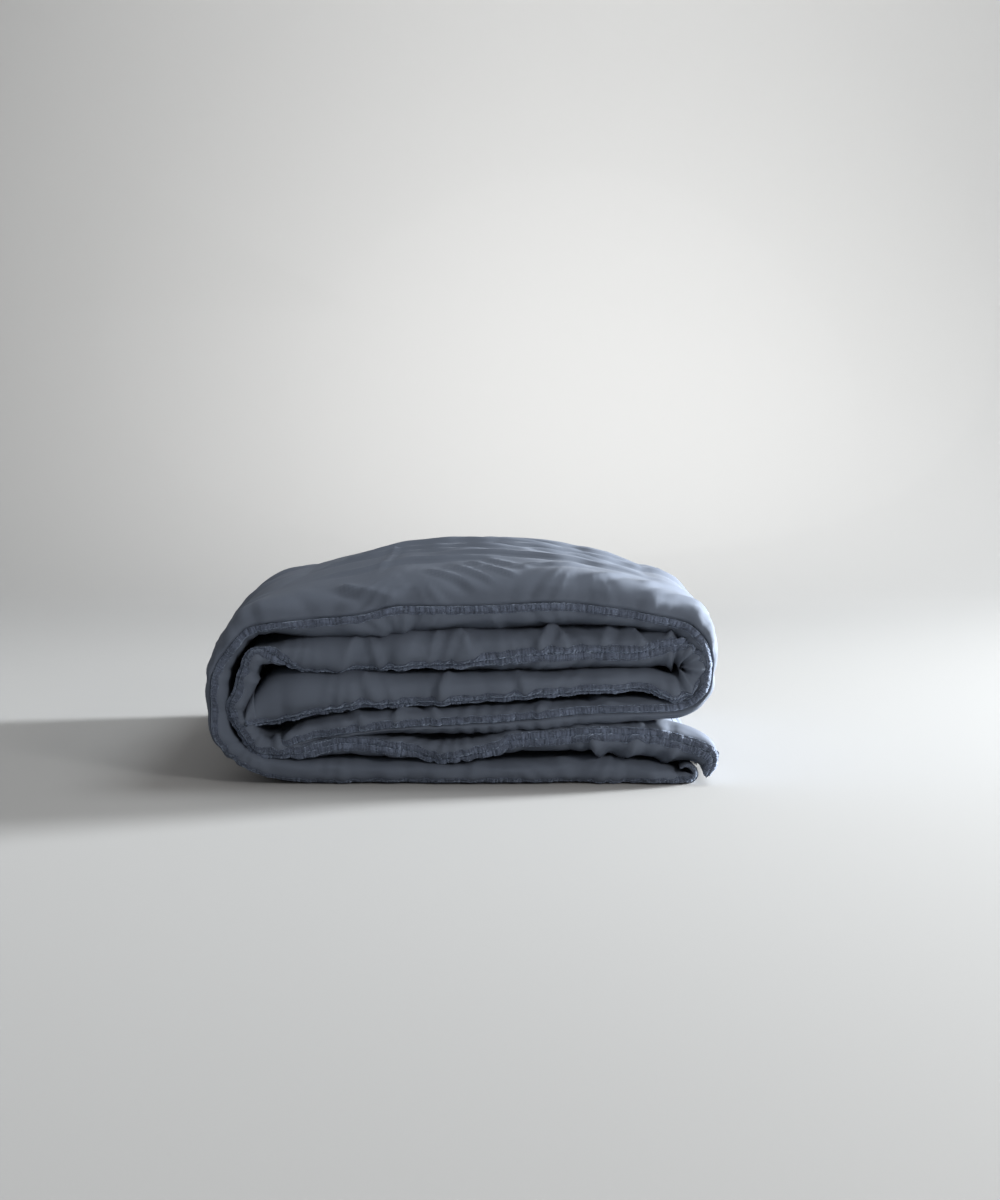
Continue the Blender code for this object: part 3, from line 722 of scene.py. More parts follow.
# Folds on the rounded front of a layer, as (leaf, panel, length along the fold, lean, width, height)
FRONT_FOLDS = (
    ("b", "inner", 0.838, 0.020, 0.0060, 0.0060),
    ("b", "inner", 0.880, -0.012, 0.0050, 0.0045),
    ("b", "inner", 0.930, 0.016, 0.0055, 0.0054),
    ("b", "inner", 0.985, -0.018, 0.0070, 0.0060),
    ("b", "inner", 1.060, 0.020, 0.0060, 0.0072),
    ("b", "inner", 1.095, -0.016, 0.0060, 0.0066),
    ("b", "inner", 1.135, 0.012, 0.0060, 0.0054),
    ("b", "inner", 1.185, -0.020, 0.0070, 0.0060),
    ("a", "inner", 0.870, 0.010, 0.0050, 0.0039),
    ("a", "inner", 0.905, -0.010, 0.0060, 0.0045),
    ("a", "inner", 1.000, 0.014, 0.0070, 0.0030),
    ("a", "inner", 1.600, 0.016, 0.0055, 0.0048),
    ("a", "inner", 1.655, -0.018, 0.0055, 0.0054),
    ("a", "inner", 1.690, 0.014, 0.0060, 0.0051),
    ("a", "inner", 1.480, -0.012, 0.0070, 0.0039),
    ("a", "inner", 1.400, 0.014, 0.0070, 0.0033),
    ("b", "outer", 1.500, 0.012, 0.0060, 0.0039),
    ("b", "outer", 1.600, -0.014, 0.0060, 0.0045),
    ("b", "outer", 1.680, 0.012, 0.0060, 0.0045),
    ("b", "inner", 0.120, 0.018, 0.0060, 0.0066),
    ("b", "inner", 0.165, -0.014, 0.0060, 0.0060),
    ("b", "inner", 0.080, 0.016, 0.0060, 0.0060),
    ("a", "inner", 0.180, 0.016, 0.0080, 0.0033),
    ("a", "inner", 0.300, -0.016, 0.0080, 0.0033),
    ("b", "outer", 1.215, 0.010, 0.0050, 0.0080),
    ("b", "outer", 1.245, -0.008, 0.0050, 0.0070),
    ("b", "outer", 1.285, 0.008, 0.0050, 0.0070),
    ("b", "outer", 1.320, -0.010, 0.0050, 0.0070),
    ("b", "inner", 1.215, 0.012, 0.0050, 0.0070),
    ("b", "outer", 0.540, 0.010, 0.0060, 0.0040),
    ("b", "outer", 0.620, -0.010, 0.0060, 0.0040),
    ("b", "outer", 0.690, 0.010, 0.0060, 0.0040),
)


FRONT_FOLD_LENGTH, FRONT_FOLD_HEIGHT = 0.060, 1.3
GATHER_SEEDS = (("a", 31), ("b", 47))
GATHERS_HIGH, GATHERS_LONG = 0.0030, 0.055


def crumpled(points, s, across, side):
    """The panel with its folds and its gathers along the hems, before it settles."""
    length = np.broadcast_to(s[:, None], across.shape)
    width = across[:, -1:]
    total = np.zeros_like(across)
    if side == "outer":
        for start, end, wide, high in TOP_FOLDS:
            total += ridge(length, across, start, end, wide, high)
    for leaf, panel, place, lean, wide, high in FRONT_FOLDS:
        if panel == side:
            from_hem = across if leaf == "a" else width - across
            start, end = (place, 0.004), (place + lean, FRONT_FOLD_LENGTH)
            total += ridge(length, from_hem, start, end, wide, FRONT_FOLD_HEIGHT * high)
    for leaf, seed in GATHER_SEEDS:
        from_hem = across if leaf == "a" else width - across
        lean = 0.45 * rolling(length, seed + 9, 0.10, 0.40)
        wave = rolling(length + lean * from_hem, seed + len(side), 0.028, 0.090, 14)
        gathers = GATHERS_HIGH * (np.minimum(np.abs(wave), 1.4) - 0.6)
        total += gathers * smooth(from_hem / 0.010) * np.exp(-((from_hem / GATHERS_LONG) ** 1.5))
    total *= sizes().fold_height
    fade = smooth(np.minimum(s, S_HEAD - s) / 0.03)[:, None]
    outward = grid_normals(points) * (1 if side == "outer" else -1)
    return points + outward * (total * fade)[..., None]


def make_panel(side):
    s, points, across = Shapes.panel(side)
    width = across[:, -1:]
    uv = np.stack([np.broadcast_to(s[:, None], across.shape), across], -1)
    near = np.stack([uv[..., 0], np.minimum(across, width - across)], -1)
    cloth = frame_material("cover_cotton")
    made = grid_object(f"cover_{side}", points, uv, flip=side == "inner", material=cloth)
    add_hem_places(made, near.reshape(-1, 2))
    return made


def finish_piece(made, slot, *nodes):
    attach(made, "root")
    if nodes:
        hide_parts(*nodes)
    return made


def shell(name, top, bottom, material, uv=None):
    """A closed solid between two grids of points."""
    rows, columns = top.shape[:2]
    index = np.arange(rows * columns).reshape(rows, columns)
    faces = [np.stack([index[:-1, :-1], index[1:, :-1], index[1:, 1:], index[:-1, 1:]], -1).reshape(-1, 4)]
    faces.append(faces[0][:, ::-1] + rows * columns)
    rim = np.concatenate([index[:, 0], index[-1, 1:], index[-2::-1, -1], index[0, -2::-1]])
    faces.append(np.stack([rim[1:], rim[:-1], rim[:-1] + rows * columns, rim[1:] + rows * columns], -1))
    vertices = np.concatenate([top.reshape(-1, 3), bottom.reshape(-1, 3)])
    both = None if uv is None else np.concatenate([uv.reshape(-1, 2)] * 2)
    made = mesh_object(name, vertices, np.concatenate(faces), both, material)
    with_outward_normals(made)
    if both is not None:
        add_hem_places(made, both)
    return made


def with_outward_normals(made):
    mesh = bmesh.new()
    mesh.from_mesh(made.data)
    open_edges = [edge for edge in mesh.edges if len(edge.link_faces) == 1]
    if open_edges:
        bmesh.ops.holes_fill(mesh, edges=open_edges)
    bmesh.ops.recalc_face_normals(mesh, faces=mesh.faces)
    mesh.to_mesh(made.data)
    mesh.free()
    made.data.shade_smooth()


def tube(name, points, radius, sides, material, flat=1.0):
    """A round strip along a line of points, closed at both ends."""
    along = np.gradient(points, axis=0)
    along /= np.linalg.norm(along, axis=1, keepdims=True)
    side = np.cross(along, [0.0, 1.0, 0.0])
    weak = np.linalg.norm(side, axis=1) < 0.2
    side[weak] = np.cross(along[weak], [0.0, 0.0, 1.0])
    side /= np.linalg.norm(side, axis=1, keepdims=True)
    other = np.cross(along, side)
    turns = np.arange(sides) * 2 * math.pi / sides
    ring = np.cos(turns)[:, None] * side[:, None] + flat * np.sin(turns)[:, None] * other[:, None]
    return loops_object(name, points[:, None] + radius * ring, material)


def loops_object(name, loops, material, uv=None, worn=None):
    """A closed solid through rings of points, with a face over each end."""
    rows, columns = loops.shape[:2]
    index = np.arange(rows * columns).reshape(rows, columns)
    after = np.roll(index, -1, axis=1)
    faces = np.stack([index[:-1], index[1:], after[1:], after[:-1]], -1).reshape(-1, 4)
    made = mesh_object(name, loops.reshape(-1, 3), faces, uv, material)
    with_outward_normals(made)
    if uv is not None:
        add_hem_places(made, uv, worn)
    return made


def near_hem(leaf, side, distances, step=None):
    """Points at distances in from a side hem, and the length along the fold of each row of them."""
    s, points, _ = Shapes.panel(side)
    count = 16
    strip = points[:, :count] if leaf == "a" else points[:, : -count - 1 : -1]
    travelled = flat_lengths(strip)
    rows = [[np.interp(distances, d, line[:, k]) for k in range(3)] for d, line in zip(travelled, strip)]
    made = np.array(rows).transpose(0, 2, 1)
    if step is None:
        return s, made
    fine = np.arange(s[0], s[-1], step)
    places = np.interp(fine, s, np.arange(len(s)))
    whole = np.clip(places.astype(int), 1, len(s) - 3)
    t = (places - whole)[:, None, None]
    p0, p1, p2, p3 = (made[whole + k] for k in (-1, 0, 1, 2))
    cubic = p1 + 0.5 * t * (p2 - p0 + t * (2 * p0 - 5 * p1 + 4 * p2 - p3 + t * (3 * (p1 - p2) + p3 - p0)))
    return fine, cubic


HEM_STEP, HEM_THICKNESS = 0.0009, 0.0014
STITCH_SHARE, STITCH_RADIUS = 0.74, 0.00032  # a stitch's length as a share of the pitch


HEM_FACES = (("a", "inner"), ("b", "outer"), ("b", "inner"))  # where a leaf's hem shows at the front


def hem_frame(leaf, side, distances, step):
    s, points = near_hem(leaf, side, distances, step)
    normal = grid_normals(points)
    normal *= np.sign(-normal[..., 1:2].mean())
    facing = normal[..., 1:2] > 0.35
    return s, points, np.where(facing, -normal, normal)


def make_hem(leaf, side):
    """The folded hem on one face of a leaf: a band of doubled cotton, gathered by its row of stitches."""
    distances = np.array([0.0, 0.0006, 0.0018, 0.0036, 0.0055, 0.0074, 0.0088, 0.0098, 0.0106, 0.0112])
    heights = np.array([0.15, 0.75, 1.0, 1.1, 1.1, 0.95, 0.30, 0.70, 0.6, 0.1]) * HEM_THICKNESS
    gather = np.array([0.1, 0.5, 0.9, 1.0, 1.0, 0.8, 0.35, 0.5, 0.5, 0.1]) * sizes().pucker_height
    s, points, normal = hem_frame(leaf, side, distances, HEM_STEP)
    seed = 3 + HEM_FACES.index((leaf, side))
    phase = s / sizes().pucker_length + 1.3 * rolling(s, seed, 0.010, 0.060)
    lean = (distances[None] / HEM_WIDTH - 0.5) * 0.35 * rolling(s, seed + 20, 0.008, 0.050)[:, None]
    bump = np.abs(np.sin(math.pi * (phase[:, None] + lean))) ** 0.8
    strength = np.clip(0.62 + 0.40 * rolling(s, seed + 40, 0.012, 0.110), 0.12, 1.1)
    top = points + normal * (heights + gather * (bump - 0.4) * strength[:, None])[..., None]
    top[:, :, 1] += 0.0003 * rolling(s, seed + 60, 0.004, 0.02)[:, None]
    under = points[:, ::-3] - normal[:, ::-3] * 0.0006
    loops = np.concatenate([top, under], axis=1)
    reach = np.concatenate([distances, distances[::-3]])
    uv = np.stack(np.broadcast_arrays(s[:, None], reach[None] + 0.004), -1).reshape(-1, 2)
    # How far each point of the hem stands up: its ridges are coloured lighter as wear, and its hollows and
    # the stitch groove darker as painted shade.
    raised = bump * (0.5 + 0.5 * strength[:, None]) * np.minimum(heights / HEM_THICKNESS, 1)
    worn = np.concatenate([raised, np.full(under.shape[:2], 0.4)], axis=1)
    worn = np.repeat(worn.reshape(-1, 1), 2, axis=1)
    cloth = cloth_material("cover_hem", colours().hems, Wash=0.4, Slubs=0.5, Wear=0.95, Crumple=0.3)
    return loops_object(f"side_hem_{leaf}_{side}", loops, cloth, uv, worn)


def stitch_tree(thread):
    """Geometry nodes that lay one stitch after another along a line."""
    tree = bpy.data.node_groups.new("hem_stitches", "GeometryNodeTree")
    socket = tree.interface.new_socket
    socket("Geometry", in_out="INPUT", socket_type="NodeSocketGeometry")
    for name in ("Pitch", "Stitch Length", "Stitch Radius"):
        socket(name, in_out="INPUT", socket_type="NodeSocketFloat")
    socket("Geometry", in_out="OUTPUT", socket_type="NodeSocketGeometry")
    given = tree.nodes.new("NodeGroupInput").outputs
    line = node(tree, "GeometryNodeMeshToCurve", {0: given["Geometry"]}).outputs[0]
    places = node(tree, "GeometryNodeCurveToPoints", {"Curve": line, "Length": given["Pitch"]}, mode="LENGTH")
    ball = node(tree, "GeometryNodeMeshIcoSphere", {"Radius": 1.0, "Subdivisions": 1}).outputs[0]
    half = maths(tree, "MULTIPLY", given["Stitch Length"], 0.5)
    radius = given["Stitch Radius"]
    size = node(tree, "ShaderNodeCombineXYZ", {0: radius, 1: radius, 2: half})
    turns = {0: (-0.12, -0.12, 0), 1: (0.12, 0.12, 0), "Seed": 8}
    wander = node(tree, "FunctionNodeRandomValue", turns, data_type="FLOAT_VECTOR")
    turns = {0: places.outputs["Rotation"], "Rotate By": wander.outputs[0]}
    turned = node(tree, "FunctionNodeRotateEuler", turns)
    copies = {"Points": places.outputs["Points"], "Instance": ball}
    copies |= {"Rotation": turned.outputs[0], "Scale": size.outputs[0]}
    laid = node(tree, "GeometryNodeInstanceOnPoints", copies)
    real = node(tree, "GeometryNodeRealizeInstances", {0: laid.outputs[0]})
    painted = node(tree, "GeometryNodeSetMaterial", {0: real.outputs[0], "Material": thread})
    out = tree.nodes.new("NodeGroupOutput")
    tree.links.new(painted.outputs[0], out.inputs[0])
    return tree


def make_stitches():
    """The hems' rows of stitches, as one piece of thread."""
    vertices, edges = [], []
    for leaf, side in HEM_FACES:
        _, points, normal = hem_frame(leaf, side, np.array([0.0070, 0.0088, 0.0098]), 0.004)
        line = points[2:-2, 1] + normal[2:-2, 1] * HEM_THICKNESS * 0.62
        start = len(vertices)
        edges += [(start + k, start + k + 1) for k in range(len(line) - 1)]
        vertices += line.tolist()
    data = bpy.data.meshes.new("hem_stitches")
    data.from_pydata(vertices, edges, [])
    made = bpy.data.objects.new("hem_stitches", data)
    bpy.context.scene.collection.objects.link(made)
    tree = stitch_tree(plain_material("cotton_thread", colours().thread, 0.7))
    laid = made.modifiers.new("stitches", "NODES")
    laid.node_group = tree
    pitch = sizes().stitch_pitch
    values = {"Pitch": pitch, "Stitch Length": STITCH_SHARE * pitch, "Stitch Radius": STITCH_RADIUS}
    for item in tree.interface.items_tree:
        if item.in_out == "INPUT" and item.name in values:
            laid[item.identifier] = values[item.name]
    return as_plain_mesh(made)


def as_plain_mesh(made):
    """The object with its modifiers' result as its own mesh."""
    graph = bpy.context.evaluated_depsgraph_get()
    data = bpy.data.meshes.new_from_object(made.evaluated_get(graph))
    made.modifiers.clear()
    made.data = data
    if not data.polygons:
        raise RuntimeError(f"{made.name} came out with no faces")
    return made


INSERT_STEP = 0.010
CASE_DEPTH = 0.0065  # of the insert's case under the cover
INSERT_SETBACK = 0.029  # from a side hem or the head end in to the insert's piped edge
FOOT_SETBACK = 0.048
INSERT_ROUNDING = 0.045  # from the piped edge in to the insert's full loft
BOX_ROWS, BOX_COLUMNS = 6, 4
BOX_LINES, BOX_POINTS = 27, 31  # of a box's mesh
BOX_SEAM, BOX_PUFF = 0.0012, 0.024


class Insert:
    """The insert inside the cover, on one coarse grid for both of its faces."""

    grid = None

    @classmethod
    def faces(cls):
        """Lengths, outer points, inner points, and distances over the cloth from leaf A's hem."""
        if cls.grid is None:
            s = np.linspace(FOOT_SETBACK, S_HEAD - INSERT_SETBACK, int(S_HEAD / INSERT_STEP))
            rows = Shapes.cover.rows(44, 44, lip=22, back=12)
            outer = Shapes.cover.points(s, "outer", rows)
            inner = Shapes.cover.points(s, "inner", rows)
            middle = (outer + inner) / 2
            reach = flat_lengths(middle)
            width = reach[:, -1:]
            count = outer.shape[1]
            share = np.linspace(0, 1, count)[None]
            wanted = INSERT_SETBACK + (width - 2 * INSERT_SETBACK) * share
            places = np.stack([np.interp(w, r, np.arange(count)) for w, r in zip(wanted, reach)])
            lines = np.broadcast_to(np.arange(len(s))[:, None], places.shape).astype(float)
            cls.grid = (s, mapped(outer, lines, places), mapped(inner, lines, places), wanted, width)
        return cls.grid

    @classmethod
    def layer(cls, depth):
        """Both faces at a depth under the cover, meeting at the piped edge."""
        s, outer, inner, wanted, width = cls.faces()
        middle = (outer + inner) / 2
        edge = np.minimum(wanted, width - wanted) - INSERT_SETBACK
        ends = np.minimum(s - s[0], s[-1] - s)[:, None]
        r = np.clip(np.minimum(edge, ends) / INSERT_ROUNDING, 0, 1)
        full = np.sqrt(1 - (1 - r) ** 2)[..., None]
        made = []
        for face in (outer, inner):
            away = face - middle
            size = np.linalg.norm(away, axis=2, keepdims=True)
            left = np.maximum(size - depth, 0.0004)
            made.append(middle + away / np.maximum(size, 1e-9) * (0.0005 + (left - 0.0005) * full))
        return made


def make_ticking(side):
    s, _, _, wanted, _ = Insert.faces()
    points = Insert.layer(CASE_DEPTH)[0 if side == "outer" else 1]
    uv = np.stack(np.broadcast_arrays(s[:, None], wanted), -1)
    looks = {"sheen": 0.1, "bump": 0.5, "Wash": 0.1, "Slubs": 0.2, "Crumple": 0.4}
    cloth = cloth_material("downproof_ticking", colours().ticking, **looks)
    made = grid_object(f"insert_case_{side}", points, uv, flip=side == "inner", material=cloth)
    add_hem_places(made, (uv + [0, 0.2]).reshape(-1, 2))
    return made


def make_piping(edge):
    """The bound edge of the insert along one of its four sides."""
    outer, inner = Insert.layer(CASE_DEPTH)
    middle = (outer + inner) / 2
    gap = 1 if edge in ("leaf_a", "leaf_b") else 0
    line = {"foot": middle[0], "head": middle[-1], "leaf_a": middle[:, 0], "leaf_b": middle[:, -1]}[edge]
    line = line[gap : len(line) - gap]
    white = plain_material("piping_cotton", colours().ticking, 0.8)
    return tube(f"piped_edge_{edge}", line, sizes().piping_radius, 8, white)


def make_fill_box(row, column):
    """One stitched box of down and feather, full in the middle and flat at its seams."""
    outer, inner = Insert.layer(CASE_DEPTH + 0.0012)
    lines, columns = outer.shape[:2]
    u = np.linspace(row / BOX_ROWS, (row + 1) / BOX_ROWS, BOX_LINES) * (lines - 1)
    v = np.linspace(column / BOX_COLUMNS, (column + 1) / BOX_COLUMNS, BOX_POINTS) * (columns - 1)
    u, v = np.meshgrid(u, v, indexing="ij")
    top, bottom = mapped(outer, u, v), mapped(inner, u, v)
    centre = (top + bottom).mean((0, 1)) / 2
    middle = (top + bottom) / 2
    across = np.linalg.norm(np.diff(middle, axis=1), axis=2).sum(1).mean()
    along = np.linalg.norm(np.diff(middle, axis=0), axis=2).sum(0).mean()
    lines, columns = np.arange(BOX_LINES), np.arange(BOX_POINTS)
    edge_u = np.minimum(lines, lines[::-1])[:, None] / lines[-1] * along
    edge_v = np.minimum(columns, columns[::-1])[None] / columns[-1] * across
    r = np.clip(np.minimum(edge_u, edge_v) / BOX_PUFF, 0, 1)
    full = (0.30 + 0.70 * np.sqrt(1 - (1 - r) ** 2))[..., None]
    inwards = 1 - BOX_SEAM / max(across, along)
    shaped = [centre + (middle + (face - middle) * full - centre) * inwards for face in (top, bottom)]
    down = plain_material("down_filling", colours().filling, 1.0)
    name = f"filling_{row + 1}_{column + 1}"
    return shell(name, *shaped, down)


def end_strip(name, start, end, depth, thickness, material, faces=("outer", "inner")):
    """A strip of cotton round an end of the cover, across both leaves."""
    s = np.linspace(start, end, 9)
    rows = Shapes.cover.rows(30, 30, lip=12, back=10)
    pair = [Shapes.cover.points(s, face, rows) for face in ("outer", "inner")]
    middle = (pair[0] + pair[1]) / 2
    made = []
    for face in faces:
        away = (pair[0] if face == "outer" else pair[1]) - middle
        size = np.maximum(np.linalg.norm(away, axis=2, keepdims=True), 1e-6)
        made.append((middle, away / size, size))
    if len(made) == 2:
        top, bottom = (m + out * (size + depth) for m, out, size in made)
    else:
        m, out, size = made[0]
        top = m + out * np.maximum(size - depth, 0.0008)
        bottom = m + out * np.maximum(size - depth - thickness, 0.0002)
    across = flat_lengths(middle)
    uv = np.stack(np.broadcast_arrays(s[:, None], across), -1)
    return shell(name, top, bottom, material, uv)


def make_button(name, leaf, share, material):
    """A four-holed shell button, placed and turned on the inner face of the foot opening, and the lines of
    its thread.
    """
    distance = share * LEAF_WIDTH
    s = np.array([0.012, 0.015, 0.018])
    depth = distance / LEAF_WIDTH
    row = (leaf, "deep", depth)
    outer, inner = (Shapes.cover.points(s, face, [row]) for face in ("outer", "inner"))
    face = inner[1, 0] - outer[1, 0]
    along = inner[2, 0] - inner[0, 0]
    along /= np.linalg.norm(along)
    face -= along * (face @ along)
    face /= np.linalg.norm(face)
    across = np.cross(face, along)
    disc = button_shape()
    points = disc[0]
    placed = inner[1, 0] + face * 0.0005 + points @ np.stack([along, across, face])
    made = bpy.data.objects.new(name, disc[1].copy())
    made.data.vertices.foreach_set("co", placed.astype(np.float32).ravel())
    made.data.update()
    made.data.materials.clear()
    made.data.materials.append(material)
    bpy.context.scene.collection.objects.link(made)
    with_outward_normals(made)
    thread = []
    for sign in (1, -1):
        steps = np.array([-1, -0.5, 0, 0.5, 1]) * BUTTON_HOLES
        ends = np.stack([steps, sign * steps], -1)
        rise = np.array([0.0012, 0.0024, 0.0026, 0.0024, 0.0012]) + 0.0004 * (sign > 0)
        thread.append(inner[1, 0] + face * 0.0005 + np.c_[ends, rise] @ np.stack([along, across, face]))
    return made, thread


BUTTON_HOLES = 0.0013


def button_shape():
    """A turned button with a rim, a dished face and four holes, as (points, mesh)."""
    radius = sizes().button_radius
    profile = (
        (0.733, 0.0000), (0.947, 0.0005), (1.0, 0.0013), (0.973, 0.0022),
        (0.880, 0.0026), (0.787, 0.0024), (0.693, 0.0019), (0.467, 0.0017),
    )
    turns = np.arange(40) * math.pi / 20
    loops = [[(r * radius * math.cos(t), r * radius * math.sin(t), z) for t in turns] for r, z in profile]
    made = loops_object("button_blank", np.array(loops), None)
    for x, y in ((1, 1), (1, -1), (-1, 1), (-1, -1)):
        ends = np.array([[x * BUTTON_HOLES, y * BUTTON_HOLES, z] for z in (-0.002, 0.0, 0.002, 0.004)])
        hole = tube("hole", ends, 0.0006, 12, None)
        cut = made.modifiers.new("hole", "BOOLEAN")
        cut.operation, cut.solver, cut.object = "DIFFERENCE", "EXACT", hole
        as_plain_mesh(made)
        bpy.data.objects.remove(hole)
    points = np.empty(len(made.data.vertices) * 3, np.float32)
    made.data.vertices.foreach_get("co", points)
    data = made.data
    bpy.data.objects.remove(made)
    return points.reshape(-1, 3).astype(float), data


def make_tie(end, leaf):
    """A cotton tape from the cover's corner to the corner of the insert."""
    outer, inner = Insert.layer(CASE_DEPTH)
    line = 0 if end == "foot" else -1
    corner = ((outer + inner) / 2)[line, 0 if leaf == "a" else -1]
    s = FOOT_SETBACK if end == "foot" else S_HEAD - INSERT_SETBACK
    rows = [(leaf, "lip", 0.0)]
    hem = Shapes.cover.points(np.array([s]), "outer", rows)[0, 0]
    steps = np.linspace(0, 1, 12)[:, None]
    path = hem + (corner - hem) * (0.12 + 0.82 * steps)
    path[:, 2:] -= 0.0015 * np.sin(math.pi * steps)
    ticking = plain_material("piping_cotton", colours().ticking, 0.8)
    return tube(f"tie_{end}_{leaf}", path, 0.0024, 8, ticking, flat=0.25)


class DUVET_OT_cover_ends(bpy.types.Operator):
    """The cover's seam at the head, and the two facings of its opening at the foot"""

    bl_idname = "duvet.cover_ends"
    bl_label = "Head seam and foot facings"

    def execute(self, context):
        cotton = frame_material("cover_cotton")
        seam = end_strip("head_seam_band", S_HEAD - HEM_WIDTH, S_HEAD - 0.0004, 0.0007, 0, cotton)
        finish_piece(seam, "cover_cotton", "head_seam")
        for face in ("outer", "inner"):
            name = f"foot_facing_{face}"
            strip = end_strip(f"{name}_band", 0.0008, FACING_WIDTH, 0.0006, 0.0007, cotton, (face,))
            finish_piece(strip, "cover_cotton", name)
        return {"FINISHED"}


class DUVET_OT_buttons(bpy.types.Operator):
    """Six shell buttons that close the foot opening, and their thread"""

    bl_idname = "duvet.buttons"
    bl_label = "Buttons"

    def execute(self, context):
        shell_finish = frame_material("shell_button")
        cotton = plain_material("cotton_thread", colours().thread, 0.7)
        for leaf in ("a", "b"):
            for k in range(3):
                name = f"{leaf}{k + 1}"
                made, threads = make_button(f"shell_button_{name}", leaf, (k + 0.5) / 3, shell_finish)
                finish_piece(made, "shell_button", f"button_{name}")
                for number, line in enumerate(threads, 1):
                    sewn = tube(f"button_thread_{name}_{number}", line, 0.0003, 6, cotton)
                    finish_piece(sewn, "cover_cotton")
        return {"FINISHED"}


class DUVET_OT_ticking(bpy.types.Operator):
    """The insert's downproof case, its piped edge and the tapes that hold it in the cover"""

    bl_idname = "duvet.ticking"
    bl_label = "Insert case"

    def execute(self, context):
        for edge in ("foot", "head", "leaf_a", "leaf_b"):
            finish_piece(make_piping(edge), "insert_ticking", f"piping_{edge}")
        for end in ("foot", "head"):
            for leaf in ("a", "b"):
                made = make_tie(end, leaf)
                made.name = f"corner_tape_{end}_{leaf}"
                finish_piece(made, "insert_ticking", f"tie_{end}_{leaf}")
        for side in ("outer", "inner"):
            made = finish_piece(make_ticking(side), "insert_ticking", f"ticking_{side}")
        return {"FINISHED"}


class DUVET_OT_filling(bpy.types.Operator):
    """The stitched boxes of down and feather, six along the length and four across"""

    bl_idname = "duvet.filling"
    bl_label = "Filling"

    def execute(self, context):
        for row in range(BOX_ROWS):
            for column in range(BOX_COLUMNS):
                made = make_fill_box(row, column)
                finish_piece(made, "filling", f"fill_row{row + 1}_box{column + 1}")
        return {"FINISHED"}


class DUVET_OT_cover_outer(bpy.types.Operator):
    """The cover's outer cotton panel, seen on top of the stack and all round it"""

    bl_idname = "duvet.cover_outer"
    bl_label = "Outer panel"

    def execute(self, context):
        made = finish_piece(make_panel("outer"), "cover_cotton", "cover_outer_panel")
        names = ("side_hem_b_outer", "side_hem_b_inner", "hem_stitches")
        names += ("head_seam_band", "foot_facing_outer_band")
        return {"FINISHED"}


class DUVET_OT_cover_inner(bpy.types.Operator):
    """The cover's inner cotton panel, which faces itself between the two leaves"""

    bl_idname = "duvet.cover_inner"
    bl_label = "Inner panel"

    def execute(self, context):
        made = finish_piece(make_panel("inner"), "cover_cotton", "cover_inner_panel")
        return {"FINISHED"}


class DUVET_OT_side_hems(bpy.types.Operator):
    """The gathered hem along each leaf's side"""

    bl_idname = "duvet.side_hems"
    bl_label = "Side hems"

    def execute(self, context):
        for leaf, side in HEM_FACES:
            finish_piece(make_hem(leaf, side), "cover_cotton", f"side_hem_leaf_{leaf}")
        return {"FINISHED"}


class DUVET_OT_hem_stitches(bpy.types.Operator):
    """The rows of stitches that hold the side hems"""

    bl_idname = "duvet.hem_stitches"
    bl_label = "Hem stitches"

    def execute(self, context):
        finish_piece(make_stitches(), "cover_cotton")
        return {"FINISHED"}


# Stage

CAMERA_DISTANCE = 3.2  # from the middle of what it looks at, which is at the hems
CAMERA_ELEVATION = 5.0
CAMERA_AIM = (0.048, Y_FRONT, 0.2275)
CAMERA_HEIGHT_SEEN = 1.456


def make_camera():
    data = bpy.data.cameras.new("camera")
    data.sensor_width = 36
    data.lens = 36 * CAMERA_DISTANCE / CAMERA_HEIGHT_SEEN
    camera = bpy.data.objects.new("camera", data)
    tilt = math.radians(CAMERA_ELEVATION)
    back = Vector((0, -math.cos(tilt), math.sin(tilt)))
    camera.location = Vector(CAMERA_AIM) + back * CAMERA_DISTANCE
    camera.rotation_euler = (math.pi / 2 - tilt, 0, 0)
    bpy.context.scene.collection.objects.link(camera)
    bpy.context.scene.camera = camera


def aimed_light(data, place, aim, power, colour):
    data.energy, data.color = power, colour
    made = bpy.data.objects.new(data.name, data)
    made.location = place
    made.rotation_euler = (Vector(aim) - Vector(place)).to_track_quat("-Z", "Y").to_euler()
    bpy.context.scene.collection.objects.link(made)


def area_light(name, place, aim, size, power, colour, spread=180):
    data = bpy.data.lights.new(name, "AREA")
    data.spread = math.radians(spread)
    data.shape, data.size = "DISK", size
    aimed_light(data, place, aim, power, colour)


def wall_light(name, aim, angle, power):
    """A soft-edged spot that brightens the wall only."""
    data = bpy.data.lights.new(name, "SPOT")
    data.spot_size, data.spot_blend = math.radians(angle), 1.0
    data.shadow_soft_size = 0.5
    aimed_light(data, (0.4, 0.9, 3.0), aim, power, (1.0, 0.997, 0.99))


def make_backdrop(colour):
    """A floor that curves up into a wall behind the stack."""
    turn = np.radians(np.linspace(0, 90, 25))
    near, bend, radius, top, side = -6.0, 2.2, 1.4, 6.0, 7.0
    y = np.concatenate([[near, -1.5, 0.5], bend + radius * np.sin(turn), [bend + radius]])
    z = np.concatenate([[0, 0, 0], radius * (1 - np.cos(turn)), [top]])
    x = np.linspace(-side, side, 3)
    points = np.stack(np.broadcast_arrays(x[:, None], y[None], z[None]), -1)
    made = grid_object("backdrop", points, material=plain_material("backdrop_paint", colour, 0.9))


